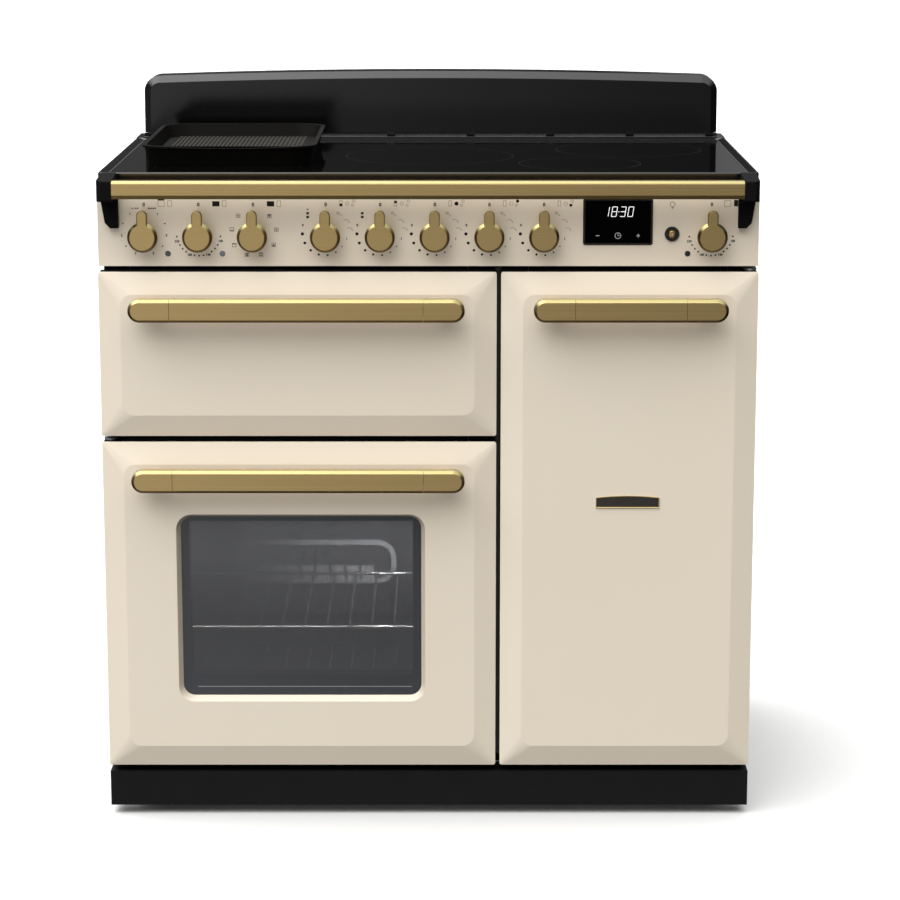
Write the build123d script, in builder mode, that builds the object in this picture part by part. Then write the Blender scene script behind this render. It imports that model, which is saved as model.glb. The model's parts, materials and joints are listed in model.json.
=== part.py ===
from build123d import *

import os

# Induction range cooker: a drop-down grill over a side-hung oven on the left, a tall side-hung oven
# on the right, a fascia with nine knobs, a five-zone hob with a griddle and a low splashback.
# Millimetres. X runs to the right, Y to the rear and Z up. The origin is on the floor, under the
# middle of the cooker's box.

# Front, from left to right
left_door_width = 542.0
right_door_width = 350.0
middle_gap = 6.0
body_inset = 1.0  # doors and fascia in from the hob's sides
chassis_inset = 4.0  # side panels in from the hob's sides

# Front, from the floor up
plinth_clearance = 13.0
plinth_height = 50.0
plinth_gap = 10.5
oven_door_height = 463.5
door_gap = 8.5
grill_door_height = 227.0
fascia_gap = 7.0
fascia_height = 109.5
hob_frame_height = 16.0
splashback_lift = 6.0
splashback_height = 85.5  # at its ends
splashback_arch = 8.0

# Depths, from the front to the rear
handle_projection = 45.0  # door rim to handle front
door_depth = 42.0
door_clearance = 4.0
oven_depth = 440.0
service_depth = 106.0  # back of the ovens to the rear panel
rear_standoff = 8.0
fascia_setback = 9.0
plinth_setback = 4.0
hob_setback = 27.0
rail_projection = 37.0
vent_depth = 71.0
splashback_depth = 57.0

# Sheet and fits
sheet = 1.5
frame_sheet = 2.0
rest_gap = 0.3
running_gap = 0.08

# Doors
door_rise = 8.0  # centre panel proud of the rim
door_margin = 30.0
door_lip = 4.0
rim_corner = 3.0
panel_corner = 17.0
liner_inset = 1.0
liner_chamfer = 10.0
mouth_margin = 38.0  # door edge to the oven's mouth
mouth_corner = 14.0
seal_width = 8.0
seal_inset = 2.0

# Window of the left oven door
window_inset_left = 100.0
window_inset_right = 98.0
window_inset_bottom = 95.0
window_inset_top = 100.5
window_corner = 22.0
window_run = 5.5
window_depth = 14.0
window_overlap = 15.0
glass_thickness = 4.0
sight_margin = 12.0  # inner opening beyond the window
inner_overlap = 10.0

# Handles
handle_height = 31.5
handle_drop = 31.5
handle_inset = 43.5
handle_end = 56.0
handle_bar_depth = 16.0
handle_post_radius = 9.0
handle_chamfer = 4.0
handle_joint = 0.3
dowel_radius = 5.0
dowel_reach = 12.0

# Hinges
hinge_inset = 10.0  # door side to the upright pins
hinge_depth = 20.0  # door rim to the upright pins
hinge_ear = 2.2
hinge_ear_gap = 0.7  # ear to the door that it carries
hinge_ear_radius = 9.0
pin_radius = 4.0
pin_reach = 18.0
collar_radius = 6.4
boss_radius = 9.0
boss_height = 24.0
grill_pivot_height = 14.0
drop_clearance = 1.5
pivot_wall = 5.0
grill_ear_inset = 17.0
grill_ear_width = 5.0
grill_ear_height = 15.0
ear_clearance = 1.5

# Fascia and controls
hob_zones = 5
knob_pitch = 74.0
knob_rise = 42.0  # fascia bottom to the knobs' axes
knob_end_left = 63.0
knob_end_right = 65.0
knob_radius = 20.4
knob_face_radius = 16.8
knob_hub_radius = 14.0
knob_depth = 28.0
knob_bevel_depth = 5.0
knob_rim = 2.0
knob_gap = 1.0
knob_tab_width = 14.2
knob_tab_reach = 36.7
knob_tab_depth = 7.0
knob_tab_bevel = 1.2
knob_bore_depth = 14.0
spindle_radius = 3.0
spindle_hole = 5.0
switch_size = 40.0
switch_depth = 30.0
switch_bore = 12.0
group_gap = 74.0  # least distances along the row of controls
clock_gap = 72.0
light_gap = 62.0
end_knob_gap = 36.0
group_share = 0.30  # how the spare width is shared out
clock_share = 0.35
light_share = 0.14
clock_width = 94.6
clock_height = 63.6
clock_rise = 60.7
clock_proud = 2.0
clock_corner = 3.0
clock_body_margin = 6.0
clock_body_depth = 28.0
light_rise = 44.0
light_ring_radius = 10.0
light_ring_proud = 2.5
light_barrel_radius = 8.0
light_body_depth = 24.0
light_button_radius = 5.8
light_button_proud = 4.0
light_travel = 3.0
lamp_lens_radius = 4.0
lamp_stem_radius = 3.2
lamp_proud = 1.2
lamp_slope = 30.0
lamp_stem_length = 14.0
lamp_rise = 17.0
indicator_shift = -5.0

# Handrail
rail_end = 26.0  # width of each end bracket
rail_height = 24.0
rail_depth = 20.0
rail_drop = 5.0
rail_wall = 3.0
rail_round = 5.0
rail_groove = 1.5
rail_lip = 4.0
bracket_drop = 33.0
bracket_inset = 5.2  # in from the hob's sides
bracket_leg = 39.5
bracket_leg_depth = 12.0
bracket_leg_overhang = 4.0
bracket_taper_head = 7.0
bracket_taper_foot = 12.5
bracket_foot_cut = 7.0
bracket_chamfer = 6.0

# Hob
hob_rim_width = 13.0
hob_rim_bevel = 9.0
hob_bevel_drop = 2.2
hob_corner = 10.0
hob_edge = 1.5
hob_ledge = 10.0
hob_glass_thickness = 4.0
hob_glass_drop = 2.5
hob_glass_gap = 0.5
tray_inset = 18.0
coil_thickness = 12.0
coil_gap = 2.5
coil_hole = 18.0
centre_coil_radius = 112.0
front_coil_radius = 75.0
rear_coil_radius = 95.0
side_coil_radius = 85.0
front_coil_inset = (225.0, 132.0)  # from the glass's right and front edges
rear_coil_inset = (145.0, 145.0)  # from the glass's right and rear edges
side_coil_inset = 157.0
side_coil_spread = 93.0
griddle_shift = 28.0  # griddle behind the middle of the glass
board_size = (210.0, 240.0, 42.0)
board_spacing = 290.0
board_base = 8.0
fin_count = 9
fin_width = 4.0

# Splashback and vent
vent_count = 7
vent_rib = 12.0
vent_slot_depth = 30.0
vent_slot_setback = 20.0
splashback_inset = 11.4  # in from the hob's sides
splashback_corner = 24.0
splashback_bevel = 10.0

# Griddle
griddle_width = 245.0
griddle_length = 360.0
griddle_height = 28.0
griddle_flare = 7.0
griddle_wall = 4.0
griddle_floor = 10.0
griddle_corner = 38.0
griddle_rim = 2.0
griddle_rim_thickness = 3.0
griddle_dip = 3.0
griddle_dip_width = 90.0
ridge_count = 32
ridge_width = 3.0
ridge_height = 1.5
ridge_pitch = 6.0
ridge_margin = 32.0

# Chassis
panel_flange = 12.0
base_flange = 18.0
foot_inset = 50.0
foot_setback = 90.0
foot_pad_radius = 22.0
foot_pad_height = 10.0
foot_pad_slope = 25.0
foot_stem_radius = 5.0
foot_nut_radius = 10.0
foot_nut_height = 5.0
foot_boss_radius = 13.0
roller_inset = 60.0
roller_setback = 60.0
roller_radius = 23.0
roller_width = 18.0
roller_crown = 2.0
axle_radius = 4.0
roller_side_gap = 0.8
roller_ear = 3.0
roller_ear_width = 26.0
louvre_count = 9
louvre_width = 8.0
louvre_height = 90.0
louvre_pitch = 22.0
louvre_rise = 640.0
terminal_width = 116.0
terminal_height = 82.0
terminal_depth = 52.0
terminal_rise = 90.0
terminal_inset = 150.0
terminal_wall = 3.0
gland_radius = 17.0
cable_radius = 11.0

# Ovens
liner_flange = 12.0
rack_wire = 2.5
rack_setback = 34.0
rack_depth = 330.0
rack_step = 42.0
rack_gap = 0.3
rack_stand = 4.0  # runners in from the posts
left_rack_rise = 49.0  # oven floor to the first runner
left_rack_count = 7
right_rack_rise = 40.0
right_rack_count = 12
left_shelf_steps = (0, 2)
right_shelf_steps = (0, 4, 8)
shelf_wire = 3.0
shelf_cross_wire = 2.6
shelf_rod = 1.8
shelf_rod_pitch = 30.0
shelf_length = 320.0
shelf_side_gap = 1.5
baffle_depth = 62.0
baffle_width = 230.0
baffle_height = 250.0
baffle_slot_count = 12
baffle_slot = (26.0, 5.0)
baffle_slot_radius = 34.0
fan_radius = 62.0
fan_blades = 8
fan_blade_width = 24.0
fan_blade_thickness = 2.0
fan_blade_turn = 20.0
fan_hub_radius = 13.0
fan_hub_length = 30.0
fan_gap = 9.0  # fan to the oven's back wall
shaft_radius = 4.0
shaft_hole = 8.0
shaft_reach = 26.0
ring_radius = 78.0
ring_wire = 3.5
ring_arc = 340.0
ring_sleeve = 4.5
ring_setback = 22.0
motor_radius = 33.0
motor_length = 52.0
motor_plate = 90.0
dome_radius = 22.0
dome_height = 12.0
dome_edge = 4.0
dome_slope = 40.0
dome_inset = 62.0

# Grill
grill_depth = 380.0
runner_width = 13.0
runner_thickness = 3.0
runner_rise = 88.0
pan_side_gap = 3.0
pan_rim = 10.0
pan_depth = 34.0
pan_wall = 1.5
pan_setback = 22.0  # back of the door to the pan's front
pan_length = 330.0
pan_corner = 20.0
trivet_inset = 14.0
trivet_wire = 2.5
trivet_rod = 2.0
trivet_leg = 3.2
trivet_rods = 11
trivet_rise = 12.0
grill_wire = 4.0
grill_drop = 16.0
grill_runs = 6
grill_run_pitch = 62.0
grill_run_length = 250.0
grill_bend = 24.0

# Heights
plinth_top = plinth_clearance + plinth_height
floor_top = plinth_top + frame_sheet
door_bottom = plinth_top + plinth_gap
oven_door_top = door_bottom + oven_door_height
grill_door_bottom = oven_door_top + door_gap
door_top = grill_door_bottom + grill_door_height
fascia_bottom = door_top + fascia_gap
fascia_top = fascia_bottom + fascia_height
hob_base = fascia_top
hob_top = hob_base + hob_frame_height
glass_top = hob_top - hob_glass_drop
glass_base = glass_top - hob_glass_thickness
coil_top = glass_base - coil_gap
coil_base = coil_top - coil_thickness
tray_base = coil_base - sheet

# Depths
overall_depth = handle_projection + door_depth + door_clearance + frame_sheet + oven_depth
overall_depth += service_depth + rear_standoff + 2 * sheet
front_y = -overall_depth / 2
rear_y = overall_depth / 2
rim_y = front_y + handle_projection
face_y = rim_y - door_rise
lip_y = rim_y + door_lip
door_back_y = rim_y + door_depth
frame_y = door_back_y + door_clearance
frame_back_y = frame_y + frame_sheet
oven_back_y = frame_back_y + oven_depth
panel_y = rear_y - rear_standoff
panel_front_y = panel_y - sheet
fascia_y = rim_y + fascia_setback
fascia_back_y = fascia_y + sheet
hob_front_y = rim_y + hob_setback
vent_y = panel_y - vent_depth
hinge_y = rim_y + hinge_depth
window_glass_y = face_y + window_depth

# Widths
overall_width = left_door_width + middle_gap + right_door_width + 2 * body_inset
half_width = overall_width / 2
body_half = half_width - body_inset
chassis_half = half_width - chassis_inset
rail_half = half_width - rail_end
glass_half = half_width - hob_rim_width

# Door, mouth and pivot places
left_x = (-body_half, -body_half + left_door_width)
right_x = (body_half - right_door_width, body_half)
grill_z = (grill_door_bottom, door_top)
oven_z = (door_bottom, oven_door_top)
tall_z = (door_bottom, door_top)
left_hinge_x = -body_half + hinge_inset
right_hinge_x = body_half - hinge_inset
grill_pivot_z = grill_door_bottom + grill_pivot_height
grill_pivot_y = face_y + grill_pivot_height + door_gap - drop_clearance


def mid(pair):
    return (pair[0] + pair[1]) / 2


def size(pair):
    return pair[1] - pair[0]


def inset(pair, amount):
    return (pair[0] + amount, pair[1] - amount)


def facing(y):
    """The upright plane at depth y whose normal points to the front."""
    return Plane.XZ.offset(-y)


def level(z):
    return Plane.XY.offset(z)


def across(x):
    """The plane at x whose normal points to the right, drawn in Y and Z."""
    return Plane.YZ.offset(x)


def block(x, y, z, mode=Mode.ADD):
    """A box between pairs of limits."""
    with Locations((mid(x), mid(y), mid(z))):
        Box(size(x), size(y), size(z), mode=mode)


def rod(start, end, radius, mode=Mode.ADD):
    """A round bar between two points."""
    along = Vector(*end) - Vector(*start)
    with BuildSketch(Plane(origin=start, z_dir=along)) as section:
        Circle(radius)
    extrude(section.sketch, amount=along.length, mode=mode)


def save(piece, name):
    piece.part.label = name
    export_step(piece.part, f"parts/{name}.step")


os.makedirs("parts", exist_ok=True)

grill_mouth = (inset(left_x, mouth_margin), inset(grill_z, mouth_margin))
left_mouth = (inset(left_x, mouth_margin), inset(oven_z, mouth_margin))
right_mouth = (inset(right_x, mouth_margin), inset(tall_z, mouth_margin))
mouths = (grill_mouth, left_mouth, right_mouth)

# Base tray: a folded pan, open below, with foot bosses and the roller ears
foot_x = chassis_half - foot_inset
foot_y = frame_y + foot_setback
roller_x = chassis_half - roller_inset
roller_y = panel_y - roller_setback
ear_offset = roller_width / 2 + roller_side_gap
with BuildPart() as base_tray:
    block((-chassis_half, chassis_half), (frame_y, panel_y), (plinth_top - base_flange, floor_top))
    offset(amount=-frame_sheet, openings=base_tray.faces().sort_by(Axis.Z)[0])
    for side in (-1, 1):
        boss_foot = (side * foot_x, foot_y, plinth_top - base_flange)
        boss_head = (side * foot_x, foot_y, floor_top)
        rod(boss_foot, boss_head, foot_boss_radius)
        rod(boss_foot, boss_head, foot_stem_radius + rest_gap, Mode.SUBTRACT)
        for edge in (-1, 1):
            ear_x = side * roller_x + edge * (ear_offset + roller_ear / 2)
            with BuildSketch(across(ear_x)):
                with Locations((roller_y, roller_radius)):
                    Circle(roller_ear_width / 2)
                with Locations((roller_y, (roller_radius + plinth_top) / 2)):
                    Rectangle(roller_ear_width, plinth_top - roller_radius)
            extrude(amount=roller_ear / 2, both=True)
        axle_end = ear_offset + roller_ear
        rod(
            (side * roller_x - axle_end, roller_y, roller_radius),
            (side * roller_x + axle_end, roller_y, roller_radius),
            axle_radius,
        )
save(base_tray, "base_tray")

# Rear rollers
for side, place in ((-1, "left"), (1, "right")):
    with BuildPart() as roller:
        with BuildSketch(across(side * roller_x)):
            with Locations((roller_y, roller_radius)):
                Circle(roller_radius)
                Circle(axle_radius + running_gap, mode=Mode.SUBTRACT)
        extrude(amount=roller_width / 2, both=True)
        rims = roller.edges().filter_by(GeomType.CIRCLE).sort_by(SortBy.RADIUS)[-2:]
        chamfer(rims, roller_crown)
    save(roller, f"roller_{place}")

# Front levelling feet: pad, threaded stem and jam nut
with BuildPart() as levelling_feet:
    for side in (-1, 1):
        with BuildSketch(level(0)):
            with Locations((side * foot_x, foot_y)):
                Circle(foot_pad_radius)
        extrude(amount=foot_pad_height, taper=foot_pad_slope)
        with BuildSketch(level(plinth_top - base_flange - foot_nut_height)):
            with Locations((side * foot_x, foot_y)):
                RegularPolygon(foot_nut_radius, 6)
        extrude(amount=foot_nut_height)
        rod((side * foot_x, foot_y, foot_pad_height / 2), (side * foot_x, foot_y, floor_top), foot_stem_radius)
save(levelling_feet, "levelling_feet")

# Plinth: folded front, top return and ends
with BuildPart() as plinth:
    block((-body_half, body_half), (rim_y + plinth_setback, frame_y), (plinth_clearance, plinth_top))
    rear_face = plinth.faces().sort_by(Axis.Y)[-1]
    lower_face = plinth.faces().sort_by(Axis.Z)[0]
    offset(amount=-sheet, openings=[rear_face, lower_face])
save(plinth, "plinth")


# Side panels: sheets flanged all round, towards the middle
def flanged_panel(side):
    with BuildPart() as flanged:
        outer = sorted((side * chassis_half, side * (chassis_half - panel_flange)))
        block(outer, (frame_back_y, panel_front_y), (floor_top, hob_base))
        inner_face = flanged.faces().sort_by(Axis.X)[0 if side > 0 else -1]
        offset(amount=-sheet, openings=inner_face)
    return flanged.part


with BuildPart() as side_panels:
    for side in (-1, 1):
        add(flanged_panel(side))
save(side_panels, "side_panels")

# Rear panel with louvres and the opening for the terminal box
terminal_x = (chassis_half - terminal_inset - terminal_width, chassis_half - terminal_inset)
terminal_z = (floor_top + terminal_rise, floor_top + terminal_rise + terminal_height)
with BuildPart() as rear_panel:
    block((-chassis_half, chassis_half), (panel_front_y, panel_y), (floor_top, hob_base))
    with BuildSketch(facing(panel_y)):
        for bank in (-1, 1):
            with Locations((bank * chassis_half / 2, floor_top + louvre_rise)):
                with GridLocations(louvre_pitch, 0, louvre_count, 1):
                    SlotOverall(louvre_height, louvre_width, rotation=90)
        with Locations((mid(terminal_x), mid(terminal_z))):
            Rectangle(terminal_width + 2 * rest_gap, terminal_height + 2 * rest_gap)
    extrude(amount=2 * sheet, mode=Mode.SUBTRACT)
save(rear_panel, "rear_panel")

# Terminal box with its cable entry
with BuildPart() as terminal_box:
    box_y = (panel_y + terminal_wall - terminal_depth, panel_y + terminal_wall)
    block(terminal_x, box_y, terminal_z)
    offset(amount=-terminal_wall, openings=terminal_box.faces().sort_by(Axis.Y)[0])
    rim_x = inset(terminal_x, -terminal_wall)
    rim_z = inset(terminal_z, -terminal_wall)
    block(rim_x, (panel_y, panel_y + terminal_wall), rim_z)
    gland = (mid(terminal_x), mid(terminal_z))
    gland_end = (gland[0], rear_y, gland[1])
    rod((gland[0], panel_y, gland[1]), gland_end, gland_radius)
    rod((gland[0], panel_y - terminal_wall, gland[1]), gland_end, cable_radius, Mode.SUBTRACT)
save(terminal_box, "terminal_box")

# Front frame: uprights and rails round the three oven mouths
with BuildPart() as front_frame:
    strip_y = (frame_y, frame_back_y)
    frame_z = (floor_top, fascia_bottom)
    left_edges, right_edges = left_mouth[0], right_mouth[0]
    uprights = (
        (-chassis_half, left_edges[0]),
        (left_edges[1], right_edges[0]),
        (right_edges[1], chassis_half),
    )
    for upright in uprights:
        block(upright, strip_y, frame_z)
    left_rails = (
        (frame_z[0], left_mouth[1][0]),
        (left_mouth[1][1], grill_mouth[1][0]),
        (grill_mouth[1][1], frame_z[1]),
    )
    right_rails = ((frame_z[0], right_mouth[1][0]), (right_mouth[1][1], frame_z[1]))
    for edges, rails in ((left_edges, left_rails), (right_edges, right_rails)):
        for rail in rails:
            block(inset(edges, rest_gap), strip_y, rail)
save(front_frame, "front_frame")

# Door seals round the mouths
with BuildPart() as door_seals:
    with BuildSketch(facing(frame_y)):
        for x, z in mouths:
            inner_x, inner_z = inset(x, -seal_inset), inset(z, -seal_inset)
            outer_x, outer_z = inset(inner_x, -seal_width), inset(inner_z, -seal_width)
            with Locations((mid(x), mid(z))):
                RectangleRounded(size(outer_x), size(outer_z), mouth_corner + seal_width)
                RectangleRounded(size(inner_x), size(inner_z), mouth_corner, mode=Mode.SUBTRACT)
    extrude(amount=door_clearance - rest_gap)
save(door_seals, "door_seals")


# Oven liners: drawn boxes, open in front, with a flange behind the front frame
def liner(x, z, depth):
    back_y = frame_back_y + depth
    with BuildPart() as drawn:
        block(inset(x, -sheet), (frame_back_y, back_y + sheet), inset(z, -sheet))
        fillet(drawn.edges().filter_by(Axis.Y), mouth_corner + sheet)
        offset(amount=-sheet, openings=drawn.faces().sort_by(Axis.Y)[0])
        with BuildSketch(facing(frame_back_y + sheet)):
            with Locations((mid(x), mid(z))):
                flange = 2 * liner_flange
                RectangleRounded(size(x) + flange, size(z) + flange, mouth_corner + liner_flange)
                RectangleRounded(size(x), size(z), mouth_corner, mode=Mode.SUBTRACT)
        extrude(amount=sheet)
    return drawn.part


ovens = (("left", left_mouth), ("right", right_mouth))
for place, (x, z) in ovens:
    with BuildPart() as oven_liner:
        add(liner(x, z, oven_depth))
        rod((mid(x), oven_back_y, mid(z)), (mid(x), oven_back_y + sheet, mid(z)), shaft_hole, Mode.SUBTRACT)
    save(oven_liner, f"{place}_oven_liner")

grill_x, grill_mouth_z = grill_mouth
runner_top = grill_mouth_z[0] + runner_rise
grill_back_y = frame_back_y + grill_depth
with BuildPart() as grill_liner:
    add(liner(grill_x, grill_mouth_z, grill_depth))
    for edge, side in ((grill_x[0], 1), (grill_x[1], -1)):
        ledge = sorted((edge, edge + side * runner_width))
        block(ledge, (frame_back_y + sheet, grill_back_y), (runner_top - runner_thickness, runner_top))
save(grill_liner, "grill_liner")


# Ladder racks on the oven walls and the wire shelves on them
def runner_heights(z, rise, count):
    return [z[0] + rise + step * rack_step for step in range(count)]


rack_front_y = frame_back_y + rack_setback
rack_y = (rack_front_y, rack_front_y + rack_depth)
rack_ends = inset(rack_y, rack_wire)
runner_reach = rack_gap + rack_wire + rack_stand
left_heights = runner_heights(left_mouth[1], left_rack_rise, left_rack_count)
right_heights = runner_heights(right_mouth[1], right_rack_rise, right_rack_count)
shelf_rest = rack_wire + shelf_wire + rack_gap
for place, x, heights, steps in (
    ("left", left_mouth[0], left_heights, left_shelf_steps),
    ("right", right_mouth[0], right_heights, right_shelf_steps),
):
    with BuildPart() as racks:
        for edge, side in ((x[0], 1), (x[1], -1)):
            post_x = edge + side * (rack_gap + rack_wire)
            runner_x = edge + side * runner_reach
            for y in rack_ends:
                low, high = heights[0] - 2 * rack_wire, heights[-1] + 2 * rack_wire
                rod((post_x, y, low), (post_x, y, high), rack_wire)
            for height in heights:
                rod((runner_x, rack_y[0], height), (runner_x, rack_y[1], height), rack_wire)
    save(racks, f"{place}_oven_racks")

    with BuildPart() as shelves:
        bar_x = inset(x, runner_reach + shelf_side_gap)
        shelf_y = (rack_y[0], rack_y[0] + shelf_length)
        rod_count = int(size(bar_x) // shelf_rod_pitch)
        rod_pitch = size(bar_x) / rod_count
        for step in steps:
            bar_z = heights[step] + shelf_rest
            for edge_x in bar_x:
                rod((edge_x, shelf_y[0], bar_z), (edge_x, shelf_y[1], bar_z), shelf_wire)
            for end_y in inset(shelf_y, shelf_wire):
                rod((bar_x[0], end_y, bar_z), (bar_x[1], end_y, bar_z), shelf_cross_wire)
            for count in range(1, rod_count):
                rod_x = bar_x[0] + count * rod_pitch
                rod_z = bar_z + shelf_wire
                rod((rod_x, shelf_y[0], rod_z), (rod_x, shelf_y[1], rod_z), shelf_rod)
    save(shelves, f"{place}_oven_shelves")

# Convection fans: shaft, hub and radial blades
fan_back_y = oven_back_y - fan_gap
for place, (x, z) in ovens:
    with BuildPart() as fan:
        centre = (mid(x), mid(z))
        with BuildSketch(facing(fan_back_y)):
            with Locations(centre):
                Circle(fan_radius)
        extrude(amount=fan_blade_thickness)
        with BuildSketch(facing(fan_back_y)):
            with Locations(centre):
                with PolarLocations((fan_radius + fan_hub_radius) / 2, fan_blades):
                    Rectangle(fan_radius - fan_hub_radius, fan_blade_thickness, rotation=fan_blade_turn)
        extrude(amount=fan_blade_width)
        hub_back = (centre[0], fan_back_y, centre[1])
        rod(hub_back, (centre[0], fan_back_y - fan_hub_length, centre[1]), fan_hub_radius)
        rod(hub_back, (centre[0], oven_back_y + sheet + shaft_reach, centre[1]), shaft_radius)
    save(fan, f"{place}_fan")

with BuildPart() as fan_motors:
    for place, (x, z) in ovens:
        centre = (mid(x), mid(z))
        motor_y = oven_back_y + sheet
        with BuildSketch(facing(motor_y + sheet)):
            with Locations(centre):
                RectangleRounded(motor_plate, motor_plate, mouth_corner)
        extrude(amount=sheet)
        rod((centre[0], motor_y, centre[1]), (centre[0], motor_y + motor_length, centre[1]), motor_radius)
        bore_end = (centre[0], motor_y + shaft_reach + rest_gap, centre[1])
        rod((centre[0], motor_y, centre[1]), bore_end, shaft_radius + running_gap, Mode.SUBTRACT)
save(fan_motors, "fan_motors")

# Fan baffles: folded covers with a ring of radial slots, open at the sides
baffle_y = oven_back_y - baffle_depth


def fan_cover(centre):
    cover_x = (centre[0] - baffle_width / 2, centre[0] + baffle_width / 2)
    cover_z = (centre[1] - baffle_height / 2, centre[1] + baffle_height / 2)
    with BuildPart() as cover:
        block(cover_x, (baffle_y, oven_back_y), cover_z)
        rear_face = cover.faces().sort_by(Axis.Y)[-1]
        side_faces = [cover.faces().sort_by(Axis.X)[0], cover.faces().sort_by(Axis.X)[-1]]
        offset(amount=-sheet, openings=[rear_face, *side_faces])
        with BuildSketch(facing(baffle_y + sheet)):
            with Locations(centre):
                with PolarLocations(baffle_slot_radius, baffle_slot_count):
                    SlotOverall(*baffle_slot)
        extrude(amount=2 * sheet, mode=Mode.SUBTRACT)
    return cover.part


with BuildPart() as fan_baffles:
    for place, (x, z) in ovens:
        add(fan_cover((mid(x), mid(z))))
save(fan_baffles, "fan_baffles")

# Heating elements: a ring round each fan and the grill's loops
ring_y = oven_back_y - ring_setback
element_z = grill_mouth_z[1] - grill_drop
element_x0 = mid(grill_x) - (grill_runs - 1) * grill_run_pitch / 2
element_y = (grill_back_y - grill_run_length, grill_back_y - grill_bend)
loop_points = [(element_x0, grill_back_y)]
for run in range(grill_runs):
    run_x = element_x0 + run * grill_run_pitch
    ends = element_y if run % 2 else element_y[::-1]
    loop_points += [(run_x, y) for y in (ends[1:] if run == 0 else ends)]
loop_points[-1] = (loop_points[-1][0], grill_back_y)
with BuildPart() as heating_elements:
    for place, (x, z) in ovens:
        with BuildSketch(Plane(origin=(mid(x), ring_y, mid(z) - ring_radius), z_dir=(1, 0, 0))) as ring_section:
            Circle(ring_wire)
        revolve(ring_section.sketch, axis=Axis((mid(x), ring_y, mid(z)), (0, 1, 0)), revolution_arc=ring_arc)
        for turn in (0, ring_arc):
            leg = Vector(0, 0, -ring_radius).rotate(Axis.Y, turn) + Vector(mid(x), 0, mid(z))
            rod((leg.X, ring_y - ring_wire, leg.Z), (leg.X, oven_back_y, leg.Z), ring_sleeve)
    with BuildLine(level(element_z)) as loops:
        FilletPolyline(*loop_points, radius=grill_bend)
    with BuildSketch(Plane(origin=(element_x0, grill_back_y, element_z), z_dir=(0, -1, 0))) as loop_section:
        Circle(grill_wire)
    sweep(loop_section.sketch, path=loops.wires()[0])
save(heating_elements, "heating_elements")

# Oven lamps: domed lenses on the back walls
with BuildPart() as oven_lamps:
    for place, (x, z) in ovens:
        dome_place = (x[0] + dome_inset, z[1] - dome_inset)
        with BuildSketch(facing(oven_back_y)):
            with Locations(dome_place):
                Circle(dome_radius)
        extrude(amount=dome_edge)
        with BuildSketch(facing(oven_back_y - dome_edge)):
            with Locations(dome_place):
                Circle(dome_radius)
        extrude(amount=dome_height - dome_edge, taper=dome_slope)
save(oven_lamps, "oven_lamps")

# Grill pan on the runners, and the trivet in it
pan_x = inset(grill_x, pan_side_gap)
pan_y = (door_back_y + pan_setback, door_back_y + pan_setback + pan_length)
pan_floor = runner_top - pan_depth
tub_x = inset(grill_x, runner_width + pan_side_gap)
with BuildPart() as grill_pan:
    with BuildSketch(level(pan_floor)):
        with Locations((mid(tub_x), mid(pan_y))):
            RectangleRounded(size(tub_x), size(pan_y) - 2 * pan_rim, pan_corner)
    extrude(amount=pan_depth)
    offset(amount=-pan_wall, openings=grill_pan.faces().sort_by(Axis.Z)[-1])
    with BuildSketch(level(runner_top)):
        with Locations((mid(pan_x), mid(pan_y))):
            RectangleRounded(size(pan_x), size(pan_y), pan_corner)
            RectangleRounded(
                size(tub_x) - 2 * pan_wall,
                size(pan_y) - 2 * pan_rim - 2 * pan_wall,
                pan_corner - pan_wall,
                mode=Mode.SUBTRACT,
            )
    extrude(amount=pan_wall)
save(grill_pan, "grill_pan")

trivet_x = inset(tub_x, trivet_inset)
trivet_y = inset(pan_y, pan_rim + trivet_inset)
trivet_z = pan_floor + pan_wall + trivet_rise
trivet_top = trivet_z + trivet_wire
trivet_ends = inset(trivet_x, trivet_inset)
with BuildPart() as grill_trivet:
    for end_y in trivet_y:
        rod((trivet_x[0], end_y, trivet_z), (trivet_x[1], end_y, trivet_z), trivet_wire)
    for count in range(trivet_rods):
        rod_x = trivet_ends[0] + count * size(trivet_ends) / (trivet_rods - 1)
        rod((rod_x, trivet_y[0], trivet_top), (rod_x, trivet_y[1], trivet_top), trivet_rod)
    for leg_x in trivet_ends:
        for end_y in trivet_y:
            rod((leg_x, end_y, pan_floor + pan_wall), (leg_x, end_y, trivet_z), trivet_leg)
save(grill_trivet, "grill_trivet")

# Places along the row of controls
knob_z = fascia_bottom + knob_rise
light_z = fascia_bottom + light_rise
first_knob_x = -body_half + knob_end_left
last_knob_x = body_half - knob_end_right
oven_group = 2 * knob_pitch
hob_group = (hob_zones - 1) * knob_pitch
least_width = oven_group + group_gap + hob_group + clock_gap + light_gap + end_knob_gap
spare = last_knob_x - first_knob_x - least_width
hob_knob_x = first_knob_x + oven_group + group_gap + group_share * spare
clock_x = hob_knob_x + hob_group + clock_gap + clock_share * spare
light_x = clock_x + light_gap + light_share * spare
clock_z = fascia_bottom + clock_rise
lamp_z = fascia_bottom + lamp_rise
knob_places = {
    "grill": first_knob_x,
    "left_temperature": first_knob_x + knob_pitch,
    "left_function": first_knob_x + oven_group,
    "right_temperature": last_knob_x,
}
for zone in range(hob_zones):
    knob_places[f"hob_{zone + 1}"] = hob_knob_x + zone * knob_pitch
indicator_places = (
    first_knob_x + knob_pitch / 2 + indicator_shift,
    first_knob_x + 3 * knob_pitch / 2 + indicator_shift,
    (light_x + last_knob_x) / 2 + indicator_shift,
)

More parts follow.
